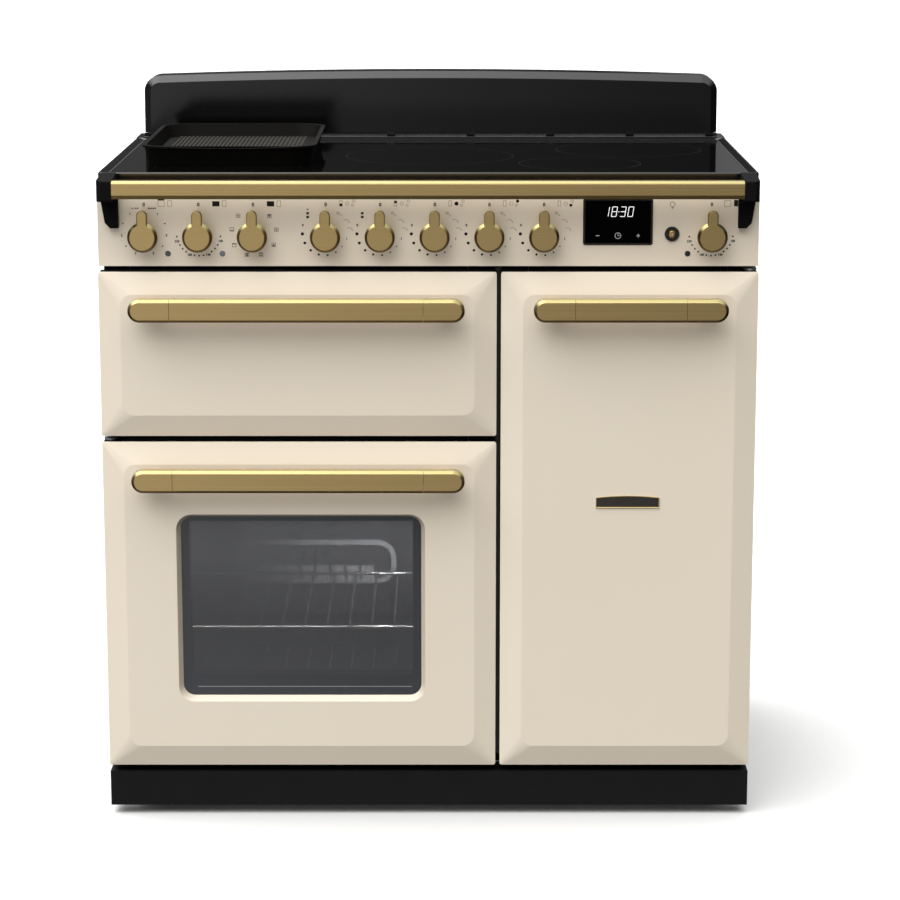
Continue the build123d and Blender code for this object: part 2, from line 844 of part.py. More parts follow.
# Fascia: a folded box, open at the rear
with BuildPart() as fascia:
    block((-body_half, body_half), (fascia_y, frame_back_y), (fascia_bottom, fascia_top))
    offset(amount=-sheet, openings=fascia.faces().sort_by(Axis.Y)[-1])
    with BuildSketch(facing(fascia_back_y)):
        for knob_x in knob_places.values():
            with Locations((knob_x, knob_z)):
                Circle(spindle_hole)
        for indicator_x in indicator_places:
            with Locations((indicator_x, lamp_z)):
                Circle(lamp_stem_radius + rest_gap)
        with Locations((light_x, light_z)):
            Circle(light_barrel_radius + rest_gap)
        with Locations((clock_x, clock_z)):
            body_cut = clock_body_margin - rest_gap
            Rectangle(clock_width - 2 * body_cut, clock_height - 2 * body_cut)
    extrude(amount=2 * sheet, mode=Mode.SUBTRACT)
save(fascia, "fascia")

# Knobs: bevelled disc with a lever tab on a narrower hub, and the spindle in its bore
knob_back_y = fascia_y - knob_gap
knob_face_y = knob_back_y - knob_depth
knob_rim_y = knob_face_y + knob_bevel_depth
tab_straight = knob_tab_reach - knob_tab_width / 2


def tab_outline(x, margin=0.0):
    """The lever tab from the knob's axis to its round end, drawn in by a margin."""
    with Locations((x, knob_z + tab_straight / 2)):
        Rectangle(knob_tab_width - 2 * margin, tab_straight)
    with Locations((x, knob_z + tab_straight)):
        Circle(knob_tab_width / 2 - margin)


bore_end_y = knob_back_y - knob_bore_depth
spindle_end_y = fascia_back_y + switch_bore - rest_gap
for name, knob_x in knob_places.items():
    with BuildPart() as knob:
        rod((knob_x, knob_back_y, knob_z), (knob_x, knob_rim_y, knob_z), knob_hub_radius)
        rod((knob_x, knob_rim_y + knob_rim, knob_z), (knob_x, knob_rim_y, knob_z), knob_radius)
        with BuildSketch(facing(knob_rim_y)):
            with Locations((knob_x, knob_z)):
                Circle(knob_radius)
        with BuildSketch(facing(knob_face_y)):
            with Locations((knob_x, knob_z)):
                Circle(knob_face_radius)
        loft()
        with BuildSketch(facing(knob_face_y + knob_tab_depth)):
            tab_outline(knob_x)
        extrude(amount=knob_tab_depth - knob_tab_bevel)
        with BuildSketch(facing(knob_face_y + knob_tab_bevel)):
            tab_outline(knob_x)
        with BuildSketch(facing(knob_face_y)):
            tab_outline(knob_x, knob_tab_bevel)
        loft()
        rod(
            (knob_x, bore_end_y, knob_z),
            (knob_x, knob_back_y, knob_z),
            spindle_radius + running_gap,
            Mode.SUBTRACT,
        )
        rod((knob_x, bore_end_y + rest_gap, knob_z), (knob_x, spindle_end_y, knob_z), spindle_radius)
    save(knob, f"knob_{name}")

# Rotary switches behind the fascia, and the light switch with its ring
with BuildPart() as control_switches:
    for knob_x in knob_places.values():
        half = switch_size / 2
        switch_x = (knob_x - half, knob_x + half)
        block(switch_x, (fascia_back_y, fascia_back_y + switch_depth), (knob_z - half, knob_z + half))
        rod(
            (knob_x, fascia_back_y, knob_z),
            (knob_x, fascia_back_y + switch_bore, knob_z),
            spindle_radius + running_gap,
            Mode.SUBTRACT,
        )
    ring_front_y = fascia_y - light_ring_proud
    light_back_y = fascia_back_y + light_body_depth
    rod((light_x, ring_front_y, light_z), (light_x, fascia_y, light_z), light_ring_radius)
    rod((light_x, fascia_y, light_z), (light_x, light_back_y, light_z), light_barrel_radius)
    button_back_y = fascia_back_y + light_travel
    rod(
        (light_x, ring_front_y, light_z),
        (light_x, button_back_y + light_travel + rest_gap, light_z),
        light_button_radius + running_gap,
        Mode.SUBTRACT,
    )
save(control_switches, "control_switches")

with BuildPart() as light_button:
    dome_y = ring_front_y - light_button_proud
    with BuildSketch(facing(button_back_y)):
        with Locations((light_x, light_z)):
            Circle(light_button_radius)
    extrude(amount=button_back_y - dome_y)
    front_edge = light_button.faces().sort_by(Axis.Y)[0].edges()
    fillet(front_edge, light_button_radius / 2)
save(light_button, "light_button")

# Clock: bezel on the fascia and its body behind
with BuildPart() as clock_module:
    with BuildSketch(facing(fascia_y)):
        with Locations((clock_x, clock_z)):
            RectangleRounded(clock_width, clock_height, clock_corner)
    extrude(amount=clock_proud)
    chamfer(clock_module.faces().sort_by(Axis.Y)[0].edges(), clock_proud / 2)
    with BuildSketch(facing(fascia_back_y + clock_body_depth)):
        with Locations((clock_x, clock_z)):
            Rectangle(clock_width - 2 * clock_body_margin, clock_height - 2 * clock_body_margin)
    extrude(amount=clock_body_depth + sheet)
save(clock_module, "clock_module")

# Indicator lamps
with BuildPart() as indicator_lamps:
    for indicator_x in indicator_places:
        with BuildSketch(facing(fascia_y)):
            with Locations((indicator_x, lamp_z)):
                Circle(lamp_lens_radius)
        extrude(amount=lamp_proud, taper=lamp_slope)
        stem_end = (indicator_x, fascia_y + lamp_stem_length, lamp_z)
        rod((indicator_x, fascia_y, lamp_z), stem_end, lamp_stem_radius)
save(indicator_lamps, "indicator_lamps")


# Door skins: pressed pans with a raised centre
def door_skin(x, z):
    width, height = size(x), size(z)
    centre = (mid(x), mid(z))
    with BuildPart() as skin:
        with BuildSketch(facing(lip_y)):
            with Locations(centre):
                RectangleRounded(width, height, rim_corner)
        extrude(amount=door_lip)
        for wall, mode in ((0, Mode.ADD), (sheet, Mode.SUBTRACT)):
            margin = 2 * (door_margin + wall)
            with BuildSketch(facing(rim_y + wall)):
                with Locations(centre):
                    RectangleRounded(width - 2 * wall, height - 2 * wall, rim_corner - wall)
            with BuildSketch(facing(face_y + wall)):
                with Locations(centre):
                    RectangleRounded(width - margin, height - margin, panel_corner - wall)
            loft(ruled=True, mode=mode)
        with BuildSketch(facing(lip_y)):
            with Locations(centre):
                RectangleRounded(width - 2 * sheet, height - 2 * sheet, rim_corner - sheet)
        extrude(amount=door_lip - sheet, mode=Mode.SUBTRACT)
    return skin.part


# Door liners: drawn trays behind the skins
def door_tray(x, z):
    with BuildPart() as tray:
        block(inset(x, liner_inset), (lip_y, door_back_y), inset(z, liner_inset))
        chamfer(tray.faces().sort_by(Axis.Y)[-1].edges(), liner_chamfer)
        offset(amount=-sheet, openings=tray.faces().sort_by(Axis.Y)[0])
    return tray.part


# Handles: two ends on posts that stand on the door, and a bar on dowels between them
def door_handle(x, z):
    axis_z = z[1] - handle_drop - handle_height / 2
    span = inset(x, handle_inset)
    joints = inset(span, handle_end)
    bar_back_y = front_y + handle_bar_depth
    bar_mid_y = front_y + handle_bar_depth / 2
    with BuildPart() as handle:
        with BuildSketch(facing(bar_back_y)):
            with Locations((mid(span), axis_z)):
                SlotOverall(size(span), handle_height)
        extrude(amount=handle_bar_depth)
        chamfer(handle.faces().sort_by(Axis.Y)[0].edges(), handle_chamfer)
        bar_z = (axis_z - handle_height / 2, axis_z + handle_height / 2)
        for post_x in inset(span, handle_end / 2):
            rod((post_x, face_y, axis_z), (post_x, bar_back_y, axis_z), handle_post_radius)
        for joint_x, side in ((joints[0], 1), (joints[1], -1)):
            slit = sorted((joint_x, joint_x + side * handle_joint))
            block(slit, (front_y, bar_back_y), bar_z, Mode.SUBTRACT)
            tip_x = joint_x + side * dowel_reach
            rod(
                (joint_x, bar_mid_y, axis_z),
                (tip_x + side * rest_gap, bar_mid_y, axis_z),
                dowel_radius + running_gap,
                Mode.SUBTRACT,
            )
            rod((joint_x - side * dowel_radius, bar_mid_y, axis_z), (tip_x, bar_mid_y, axis_z), dowel_radius)
    return handle


for place, x, z in (("grill", left_x, grill_z), ("left", left_x, oven_z), ("right", right_x, tall_z)):
    save(door_handle(x, z), f"{place}_door_handle")


# Upright hinge bosses at the foot and head of a side-hung liner
def hinge_bosses(hinge_x, z):
    for end_z, up in ((z[0] + liner_inset, 1), (z[1] - liner_inset, -1)):
        rod((hinge_x, hinge_y, end_z), (hinge_x, hinge_y, end_z + up * boss_height), boss_radius)
        bore_z = end_z + up * (pin_reach + 2 * rest_gap)
        rod((hinge_x, hinge_y, end_z), (hinge_x, hinge_y, bore_z), pin_radius + running_gap, Mode.SUBTRACT)


# Right door
with BuildPart() as right_door_panel:
    add(door_skin(right_x, tall_z))
save(right_door_panel, "right_door_panel")

with BuildPart() as right_door_liner:
    add(door_tray(right_x, tall_z))
    hinge_bosses(right_hinge_x, tall_z)
save(right_door_liner, "right_door_liner")

# Left oven door with its window
window_x = (left_x[0] + window_inset_left, left_x[1] - window_inset_right)
window_z = (oven_z[0] + window_inset_bottom, oven_z[1] - window_inset_top)
pane_x = inset(window_x, window_run)
pane_z = inset(window_z, window_run)
with BuildPart() as left_door_panel:
    add(door_skin(left_x, oven_z))
    for wall, mode in ((sheet, Mode.ADD), (0, Mode.SUBTRACT)):
        with BuildSketch(facing(face_y)):
            with Locations((mid(window_x), mid(window_z))):
                RectangleRounded(size(window_x) + 2 * wall, size(window_z) + 2 * wall, window_corner + wall)
        with BuildSketch(facing(window_glass_y)):
            with Locations((mid(window_x), mid(window_z))):
                pane_corner = window_corner - window_run + wall
                RectangleRounded(size(pane_x) + 2 * wall, size(pane_z) + 2 * wall, pane_corner)
        loft(ruled=True, mode=mode)
save(left_door_panel, "left_door_panel")

# Outer and inner pane of the window
sight_x, sight_z = inset(window_x, -sight_margin), inset(window_z, -sight_margin)
with BuildPart() as left_door_glass:
    outer_x, outer_z = inset(pane_x, -window_overlap), inset(pane_z, -window_overlap)
    with BuildSketch(facing(window_glass_y + glass_thickness)):
        with Locations((mid(window_x), mid(window_z))):
            RectangleRounded(size(outer_x), size(outer_z), window_corner)
    extrude(amount=glass_thickness)
    with BuildSketch(facing(door_back_y - sheet)):
        with Locations((mid(sight_x), mid(sight_z))):
            overlap = 2 * inner_overlap
            RectangleRounded(size(sight_x) + overlap, size(sight_z) + overlap, window_corner)
    extrude(amount=glass_thickness)
save(left_door_glass, "left_door_glass")

with BuildPart() as left_door_liner:
    add(door_tray(left_x, oven_z))
    hinge_bosses(left_hinge_x, oven_z)
    with BuildSketch(facing(door_back_y)):
        with Locations((mid(sight_x), mid(sight_z))):
            RectangleRounded(size(sight_x), size(sight_z), window_corner)
    extrude(amount=2 * sheet, mode=Mode.SUBTRACT)
save(left_door_liner, "left_door_liner")

# Grill door, notched over its hinge ears, with pivot blocks beside the notches
grill_ears = []
for edge_x, side in ((left_x[0], 1), (left_x[1], -1)):
    near = edge_x + side * grill_ear_inset
    grill_ears.append((near, near + side * grill_ear_width, side))
pivot_reach = pin_radius + pivot_wall
with BuildPart() as grill_door_panel:
    add(door_skin(left_x, grill_z))
save(grill_door_panel, "grill_door_panel")

with BuildPart() as grill_door_liner:
    add(door_tray(left_x, grill_z))
    tray_bottom = grill_z[0] + liner_inset
    block_y = (grill_pivot_y - pivot_reach, grill_pivot_y + pivot_reach)
    block_z = (tray_bottom, grill_pivot_z + pivot_reach)
    for near, far, side in grill_ears:
        notch = sorted((near - side * ear_clearance, far + side * ear_clearance))
        notch_y = (block_y[0], door_back_y)
        block(notch, notch_y, (tray_bottom, block_z[1]), Mode.SUBTRACT)
        start_x = far + side * ear_clearance
        block(sorted((start_x, start_x + side * boss_height)), block_y, block_z)
        bore_x = far + side * (pin_reach + 2 * rest_gap)
        rod(
            (start_x, grill_pivot_y, grill_pivot_z),
            (bore_x, grill_pivot_y, grill_pivot_z),
            pin_radius + running_gap,
            Mode.SUBTRACT,
        )
save(grill_door_liner, "grill_door_liner")

# Hinge brackets: ears on the front frame with their pins
ear_places = (
    (left_hinge_x, door_bottom, 1),
    (left_hinge_x, oven_door_top, -1),
    (right_hinge_x, door_bottom, 1),
    (right_hinge_x, door_top, -1),
)
with BuildPart() as hinge_brackets:
    for hinge_x, door_end, up in ear_places:
        ear_z = door_end - up * (hinge_ear_gap + hinge_ear)
        with BuildSketch(level(ear_z)):
            with Locations((hinge_x, hinge_y)):
                Circle(hinge_ear_radius)
            with Locations((hinge_x, mid((hinge_y, frame_y)))):
                Rectangle(2 * hinge_ear_radius, frame_y - hinge_y)
        extrude(amount=up * hinge_ear)
        liner_end = door_end + up * liner_inset
        pin_foot = (hinge_x, hinge_y, ear_z)
        rod(pin_foot, (hinge_x, hinge_y, liner_end + up * pin_reach), pin_radius)
        rod(pin_foot, (hinge_x, hinge_y, liner_end - up * rest_gap), collar_radius)
    for near, far, side in grill_ears:
        with BuildSketch(across(mid((near, far)))):
            with Locations((grill_pivot_y, grill_pivot_z)):
                Circle(grill_ear_height / 2)
            with Locations((mid((grill_pivot_y, frame_y)), grill_pivot_z)):
                Rectangle(frame_y - grill_pivot_y, grill_ear_height)
        extrude(amount=grill_ear_width / 2, both=True)
        pin_end = far + side * pin_reach
        rod((far, grill_pivot_y, grill_pivot_z), (pin_end, grill_pivot_y, grill_pivot_z), pin_radius)
save(hinge_brackets, "hinge_brackets")

# Handrail: a hollow extrusion with a round top and a groove near its foot
rail_y = rim_y - rail_projection
rail_top = hob_top - rail_drop
rail_foot = rail_top - rail_height
with BuildPart() as handrail:
    with BuildSketch(across(-rail_half)) as rail_section:
        with Locations((rail_y + rail_depth / 2, rail_foot + rail_height / 2)):
            Rectangle(rail_depth, rail_height)
        fillet(rail_section.vertices().group_by(Axis.Y)[-1], rail_round)
        with Locations((rail_y + rail_depth / 2, rail_foot + rail_height / 2 + rail_lip / 2)):
            Rectangle(rail_depth - 2 * rail_wall, rail_height - rail_lip - 2 * rail_wall, mode=Mode.SUBTRACT)
        with Locations((rail_y, rail_foot + rail_lip)):
            Rectangle(2 * rail_groove, rail_groove, mode=Mode.SUBTRACT)
    extrude(amount=2 * rail_half)
save(handrail, "handrail")


# Rail brackets: cast arms from the hob's corners, with a leg down the fascia
def rail_bracket(side):
    bracket_foot = hob_top - bracket_drop
    leg_foot = bracket_foot - bracket_leg
    leg_y = fascia_y - bracket_leg_depth
    outline = [
        (fascia_y, leg_foot),
        (leg_y, leg_foot),
        (leg_y, bracket_foot),
        (rail_y, bracket_foot),
        (rail_y, rail_top),
        (hob_front_y, hob_top),
        (hob_front_y, hob_base),
        (fascia_y, hob_base),
    ]
    with BuildPart() as arm:
        with BuildSketch(across(side * rail_half)):
            Polygon(*outline, align=None)
        extrude(amount=side * (rail_end - bracket_inset))
        front_edges = arm.edges().filter_by(Axis.Z).group_by(Axis.Y)[0]
        chamfer(front_edges.sort_by(Axis.X)[-1 if side > 0 else 0], bracket_chamfer)
        nose_edges = arm.edges().filter_by(Axis.X).group_by(Axis.Y)[0]
        fillet(nose_edges, rail_round / 2)
        leg_edge = sorted((side * rail_half, side * (rail_half - bracket_leg_overhang)))
        block(leg_edge, (leg_y, fascia_y), (leg_foot, bracket_foot))
        with BuildSketch(facing(fascia_y)):
            leg_x = half_width - bracket_taper_foot
            taper = [
                (side * half_width, bracket_foot),
                (side * (half_width - bracket_taper_head), bracket_foot),
                (side * leg_x, leg_foot + bracket_foot_cut),
                (side * (leg_x - bracket_foot_cut), leg_foot),
                (side * half_width, leg_foot),
            ]
            Polygon(*taper, align=None)
        extrude(amount=2 * bracket_leg_depth, mode=Mode.SUBTRACT)
    return arm.part


with BuildPart() as rail_brackets:
    for side in (-1, 1):
        add(rail_bracket(side))
save(rail_brackets, "rail_brackets")

# Hob frame: a rim that slopes in to the glass, with a ledge under it
glass_y = (hob_front_y + hob_rim_width, vent_y - hob_rim_width)
glass_x = (-glass_half, glass_half)
with BuildPart() as hob_frame:
    block((-half_width, half_width), (hob_front_y, vent_y), (hob_base, hob_top))
    front_corners = hob_frame.edges().filter_by(Axis.Z).group_by(Axis.Y)[0]
    fillet(front_corners, hob_corner)
    chamfer(hob_frame.faces().sort_by(Axis.Z)[-1].edges(), hob_edge)
    block(inset(glass_x, hob_ledge), inset(glass_y, hob_ledge), (hob_base, hob_top), Mode.SUBTRACT)
    opening_x, opening_y = inset(glass_x, -hob_glass_gap), inset(glass_y, -hob_glass_gap)
    block(opening_x, opening_y, (glass_base, hob_top), Mode.SUBTRACT)
    for height, reach in ((hob_top - hob_bevel_drop, 0), (hob_top, hob_rim_bevel)):
        with BuildSketch(level(height)):
            with Locations((mid(opening_x), mid(opening_y))):
                Rectangle(size(opening_x) + 2 * reach, size(opening_y) + 2 * reach)
    loft(ruled=True, mode=Mode.SUBTRACT)
save(hob_frame, "hob_frame")

with BuildPart() as hob_glass:
    with BuildSketch(level(glass_base)):
        with Locations((0, mid(glass_y))):
            Rectangle(size(glass_x), size(glass_y))
    extrude(amount=hob_glass_thickness)
save(hob_glass, "hob_glass")

# Coil tray, the five coils on it and the power boards under it
tray_x = (-half_width + tray_inset, half_width - tray_inset)
tray_y = (frame_back_y + rest_gap, glass_y[1] - hob_ledge / 2)
with BuildPart() as coil_tray:
    block(tray_x, tray_y, (tray_base, hob_base))
    offset(amount=-sheet, openings=coil_tray.faces().sort_by(Axis.Z)[-1])
save(coil_tray, "coil_tray")

griddle_x = -glass_half + side_coil_inset
griddle_y = mid(glass_y) + griddle_shift
coil_places = (
    (0, mid(glass_y), centre_coil_radius),
    (glass_half - front_coil_inset[0], glass_y[0] + front_coil_inset[1], front_coil_radius),
    (glass_half - rear_coil_inset[0], glass_y[1] - rear_coil_inset[1], rear_coil_radius),
    (griddle_x, griddle_y - side_coil_spread, side_coil_radius),
    (griddle_x, griddle_y + side_coil_spread, side_coil_radius),
)
with BuildPart() as induction_coils:
    with BuildSketch(level(coil_base)):
        for coil_x, coil_y, radius in coil_places:
            with Locations((coil_x, coil_y)):
                Circle(radius)
                Circle(coil_hole, mode=Mode.SUBTRACT)
    extrude(amount=coil_thickness)
save(induction_coils, "induction_coils")

board_width, board_length, board_height = board_size
with BuildPart() as power_boards:
    for side in (-1, 1):
        centre = (side * board_spacing, mid(glass_y))
        with BuildSketch(level(tray_base - board_base)):
            with Locations(centre):
                Rectangle(board_width, board_length)
        extrude(amount=board_base)
        with BuildSketch(level(tray_base - board_height)):
            with Locations(centre):
                with GridLocations(board_width / fin_count, 0, fin_count, 1):
                    Rectangle(fin_width, board_length)
        extrude(amount=board_height - board_base)
save(power_boards, "power_boards")

# Vent strip behind the hob: a folded channel with slots, and ribs that carry the splashback
vent_x = (-half_width, half_width)
splashback_x = inset((-half_width, half_width), splashback_inset)
splashback_y = (panel_y - splashback_depth, panel_y)
vent_pitch = (size(splashback_x) - 2 * vent_rib) / vent_count
with BuildPart() as vent_trim:
    block(vent_x, (vent_y, panel_y), (hob_base, hob_top))
    offset(amount=-sheet, openings=vent_trim.faces().sort_by(Axis.Z)[0])
    with BuildSketch(level(hob_top - sheet)):
        with Locations((0, vent_y + vent_slot_setback + vent_slot_depth / 2)):
            with GridLocations(vent_pitch, 0, vent_count, 1):
                Rectangle(vent_pitch - vent_rib, vent_slot_depth)
    extrude(amount=2 * sheet, mode=Mode.SUBTRACT)
    with BuildSketch(level(hob_top)):
        with Locations((0, mid(splashback_y))):
            with GridLocations(vent_pitch, 0, vent_count + 1, 1):
                Rectangle(vent_rib, splashback_depth)
    extrude(amount=splashback_lift)
save(vent_trim, "vent_trim")

# Splashback: a hollow upstand with an arched top and a bevelled front
with BuildPart() as splashback:
    foot_z = hob_top + splashback_lift
    shoulder_z = foot_z + splashback_height
    with BuildSketch(facing(splashback_y[1])) as upstand:
        with BuildLine():
            Polyline(
                (splashback_x[0], shoulder_z),
                (splashback_x[0], foot_z),
                (splashback_x[1], foot_z),
                (splashback_x[1], shoulder_z),
            )
            ThreePointArc(
                (splashback_x[1], shoulder_z),
                (mid(splashback_x), shoulder_z + splashback_arch),
                (splashback_x[0], shoulder_z),
            )
        make_face()
        fillet(upstand.vertices().group_by(Axis.Y)[-1], splashback_corner)
    extrude(amount=splashback_depth)
    front_edges = splashback.faces().sort_by(Axis.Y)[0].edges()
    chamfer(front_edges.sort_by(Axis.Z)[1:], splashback_bevel)
    offset(amount=-sheet, openings=splashback.faces().sort_by(Axis.Z)[0])
save(splashback, "splashback")

# Griddle: a flared pan with a rolled rim, a dipped front and a ridged floor
with BuildPart() as griddle:
    for wall, floor, mode in ((0, 0, Mode.ADD), (griddle_wall, griddle_floor, Mode.SUBTRACT)):
        for height, flare in ((floor, griddle_flare), (griddle_height, 0)):
            with BuildSketch(level(glass_top + height)):
                with Locations((griddle_x, griddle_y)):
                    inward = 2 * (flare + wall + griddle_rim)
                    corner = griddle_corner - (flare + wall) / 2
                    RectangleRounded(griddle_width - inward, griddle_length - inward, corner)
        loft(ruled=True, mode=mode)
    with BuildSketch(level(glass_top + griddle_height - griddle_rim_thickness)):
        with Locations((griddle_x, griddle_y)):
            RectangleRounded(griddle_width, griddle_length, griddle_corner + griddle_rim)
            hole = 2 * (griddle_rim + griddle_wall)
            hole_corner = griddle_corner - griddle_wall / 2
            RectangleRounded(griddle_width - hole, griddle_length - hole, hole_corner, mode=Mode.SUBTRACT)
    extrude(amount=griddle_rim_thickness)
    with BuildSketch(level(glass_top + griddle_floor)):
        with Locations((griddle_x, griddle_y)):
            with GridLocations(ridge_pitch, 0, ridge_count, 1):
                Rectangle(ridge_width, griddle_length - 2 * ridge_margin)
    extrude(amount=ridge_height)
    griddle_rim_z = glass_top + griddle_height
    griddle_front_y = griddle_y - griddle_length / 2
    with BuildSketch(facing(griddle_front_y + griddle_rim + griddle_wall)):
        with BuildLine():
            ThreePointArc(
                (griddle_x - griddle_dip_width, griddle_rim_z),
                (griddle_x, griddle_rim_z - griddle_dip),
                (griddle_x + griddle_dip_width, griddle_rim_z),
            )
            Line((griddle_x + griddle_dip_width, griddle_rim_z), (griddle_x - griddle_dip_width, griddle_rim_z))
        make_face()
    extrude(amount=griddle_rim + griddle_wall, mode=Mode.SUBTRACT)
save(griddle, "griddle")
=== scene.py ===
import json
import math

import bpy
from mathutils import Matrix, Vector


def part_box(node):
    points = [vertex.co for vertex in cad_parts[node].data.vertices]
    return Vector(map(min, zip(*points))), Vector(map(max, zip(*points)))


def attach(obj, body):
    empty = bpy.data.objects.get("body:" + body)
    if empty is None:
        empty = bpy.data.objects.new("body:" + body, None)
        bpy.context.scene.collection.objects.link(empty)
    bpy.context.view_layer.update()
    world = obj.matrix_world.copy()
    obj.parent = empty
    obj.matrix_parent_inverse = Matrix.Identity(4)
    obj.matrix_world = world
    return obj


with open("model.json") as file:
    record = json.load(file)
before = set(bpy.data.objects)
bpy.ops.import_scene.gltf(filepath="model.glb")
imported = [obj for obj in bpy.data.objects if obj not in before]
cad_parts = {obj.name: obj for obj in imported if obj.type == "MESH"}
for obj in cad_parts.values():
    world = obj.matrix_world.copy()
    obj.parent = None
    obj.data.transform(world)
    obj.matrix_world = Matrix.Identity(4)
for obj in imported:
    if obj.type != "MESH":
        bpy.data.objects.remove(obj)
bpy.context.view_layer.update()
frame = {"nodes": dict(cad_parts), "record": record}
nodes = frame["nodes"]

# The looks of an induction range cooker: cream enamel doors and fascia, brushed brass handles, rail
# and knobs, black glass hob, black splashback. Metres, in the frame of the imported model.
MM = 0.001
UPRIGHT = Matrix.Rotation(math.pi / 2, 4, "X")  # a flat shape turned to face the front


def tint(red, green, blue):
    """A colour as a paint chart gives it, from 0 to 255, made linear for the shaders."""

    def linear(share):
        return share / 12.92 if share < 0.04 else ((share + 0.055) / 1.055) ** 2.4

    return (*(linear(channel / 255) for channel in (red, green, blue)), 1.0)


# Shader arithmetic
class Value:
    """A shader socket that takes part in Python arithmetic."""

    def __init__(self, shading, socket):
        self.shading = shading
        self.socket = socket

    def math(self, operation, *values):
        return self.shading.node("ShaderNodeMath", {"operation": operation}, dict(enumerate(values)))

    def __add__(self, other):
        return self.math("ADD", self, other)

    def __sub__(self, other):
        return self.math("SUBTRACT", self, other)

    def __rsub__(self, other):
        return self.math("SUBTRACT", other, self)

    def __mul__(self, other):
        return self.math("MULTIPLY", self, other)

    def __lt__(self, other):
        return self.math("LESS_THAN", self, other)

    def __gt__(self, other):
        return self.math("GREATER_THAN", self, other)

    def __abs__(self):
        return self.math("ABSOLUTE", self)

    def root(self):
        return self.math("SQRT", self)

    def wave(self):
        return self.math("SINE", self)

    def most(self, other):
        return self.math("MAXIMUM", self, other)

    def within(self, low, high):
        return (self > low) * (self < high)

    def step(self, low, high):
        """A smooth step from 0 at the low end to 1 at the high end."""
        settings = {"interpolation_type": "SMOOTHSTEP"}
        return self.shading.node("ShaderNodeMapRange", settings, {0: self, 1: low, 2: high})

    __radd__ = __add__
    __rmul__ = __mul__


class Shading:
    """The nodes of a material or of the studio's world, added one at a time."""

    def __init__(self, tree):
        self.tree = tree

    def feed(self, socket, value):
        if isinstance(value, Value):
            self.tree.links.new(value.socket, socket)
        else:
            socket.default_value = value

    def node(self, kind, settings=None, inputs=None, output=0):
        made = self.tree.nodes.new(kind)
        for setting, value in (settings or {}).items():
            if setting == "stops":
                set_stops(made.color_ramp, value)
            else:
                setattr(made, setting, value)
        for key, value in (inputs or {}).items():
            self.feed(made.inputs[key], value)
        return Value(self, made.outputs[output])

    def axes(self, coordinates="Object"):
        """A place, or a direction in the world, as X, Y and Z."""
        place = self.node("ShaderNodeTexCoord", output=coordinates)
        split = self.node("ShaderNodeSeparateXYZ", inputs={"Vector": place})
        return [Value(self, socket) for socket in split.socket.node.outputs]


def set_stops(ramp, stops):
    """Gives a ramp its grey stops, as places and brightnesses in rising order."""
    (first, dark), *between, (last, light) = stops
    ramp.elements[0].position = first
    ramp.elements[0].color = (dark, dark, dark, 1.0)
    ramp.elements[-1].position = last
    ramp.elements[-1].color = (light, light, light, 1.0)
    for place, grey in between:
        ramp.elements.new(place).color = (grey, grey, grey, 1.0)


class Finish(Shading):
    """A material whose nodes feed its Principled shader."""

    def __init__(self, name, constants=None):
        self.material = bpy.data.materials.new(name)
        self.material.use_nodes = True
        super().__init__(self.material.node_tree)
        self.shader = next(n for n in self.tree.nodes if n.type == "BSDF_PRINCIPLED")
        for socket, value in (constants or {}).items():
            self.set(socket, value)

    def set(self, socket, value):
        self.feed(self.shader.inputs[socket], value)

    def point(self, stretch=(1, 1, 1)):
        """The place on the piece, in metres, stretched along each axis."""
        place = self.node("ShaderNodeTexCoord", output="Object")
        return self.node("ShaderNodeMapping", inputs={"Vector": place, "Scale": stretch})

    def noise(self, scale, stretch=(1, 1, 1), detail=2.0):
        inputs = {"Vector": self.point(stretch), "Scale": scale, "Detail": detail}
        return self.node("ShaderNodeTexNoise", None, inputs)

    def cells(self, scale, output="Distance"):
        inputs = {"Vector": self.point(), "Scale": scale}
        return self.node("ShaderNodeTexVoronoi", None, inputs, output)

    def mix(self, factor, first, second):
        colours = {0: factor, 6: first, 7: second}
        return self.node("ShaderNodeMix", {"data_type": "RGBA"}, colours, 2)

    def relief(self, height, distance, edge=0.4 * MM):
        """Fine relief over the surface, with its sharp edges slightly rounded."""
        inputs = {"Height": height, "Distance": distance}
        inputs["Normal"] = self.node("ShaderNodeBevel", {"samples": 4}, {"Radius": edge})
        self.set("Normal", self.node("ShaderNodeBump", None, inputs))


# Finishes, with noise scales per metre, depths in metres, and roughness as a base and a share that varies
def enamel(name, colour, shadow, gloss=0.16, peel_depth=0.012 * MM, coat=0.25, specular=0.5):
    """Fired enamel: slow drift of colour, and a faint orange peel."""
    drift_scale, peel_scale, peel_gloss = 4.0, 240.0, 0.08
    finish = Finish(name, {"IOR": 1.52, "Coat Weight": coat, "Specular IOR Level": specular})
    peel = finish.noise(peel_scale, detail=1.0)
    finish.set("Base Color", finish.mix(finish.noise(drift_scale), shadow, colour))
    finish.set("Roughness", gloss + peel_gloss * peel)
    finish.relief(peel, peel_depth)
    return finish


def brushed(name, colour, shadow, grain, roughness=0.24, front=None, middle=None, foot=0.0):
    """Metal drawn over a belt: fine lines along one axis, with a painted highlight on the upper edges and
    painted shade on the lower edges behind its front face.
    """
    line_gloss, line_depth, rounding = 0.16, 0.006 * MM, 0.6 * MM
    edge_start, edge_end, blend_half = 0.4 * MM, 9 * MM, 4 * MM
    finish = Finish(name, {"Metallic": 1.0})
    lines = finish.noise(1.0, grain, detail=3.0)
    brass_colour = finish.mix(lines, shadow, colour)
    if front is not None:
        _, y, z = finish.axes()
        # Edges behind the front face are painted light: a painted highlight on the upper side, painted
        # shade on the lower side
        highlight_share = z.step(middle - blend_half, middle + blend_half)
        painted_edge_light = finish.mix(highlight_share, painted_shade_brass, painted_highlight_brass)
        edge = y.within(front + edge_start, front + edge_end).most(z < foot)
        brass_colour = finish.mix(edge, brass_colour, painted_edge_light)
    finish.set("Base Color", brass_colour)
    finish.set("Roughness", roughness + line_gloss * lines)
    finish.relief(lines, line_depth, rounding)
    return finish


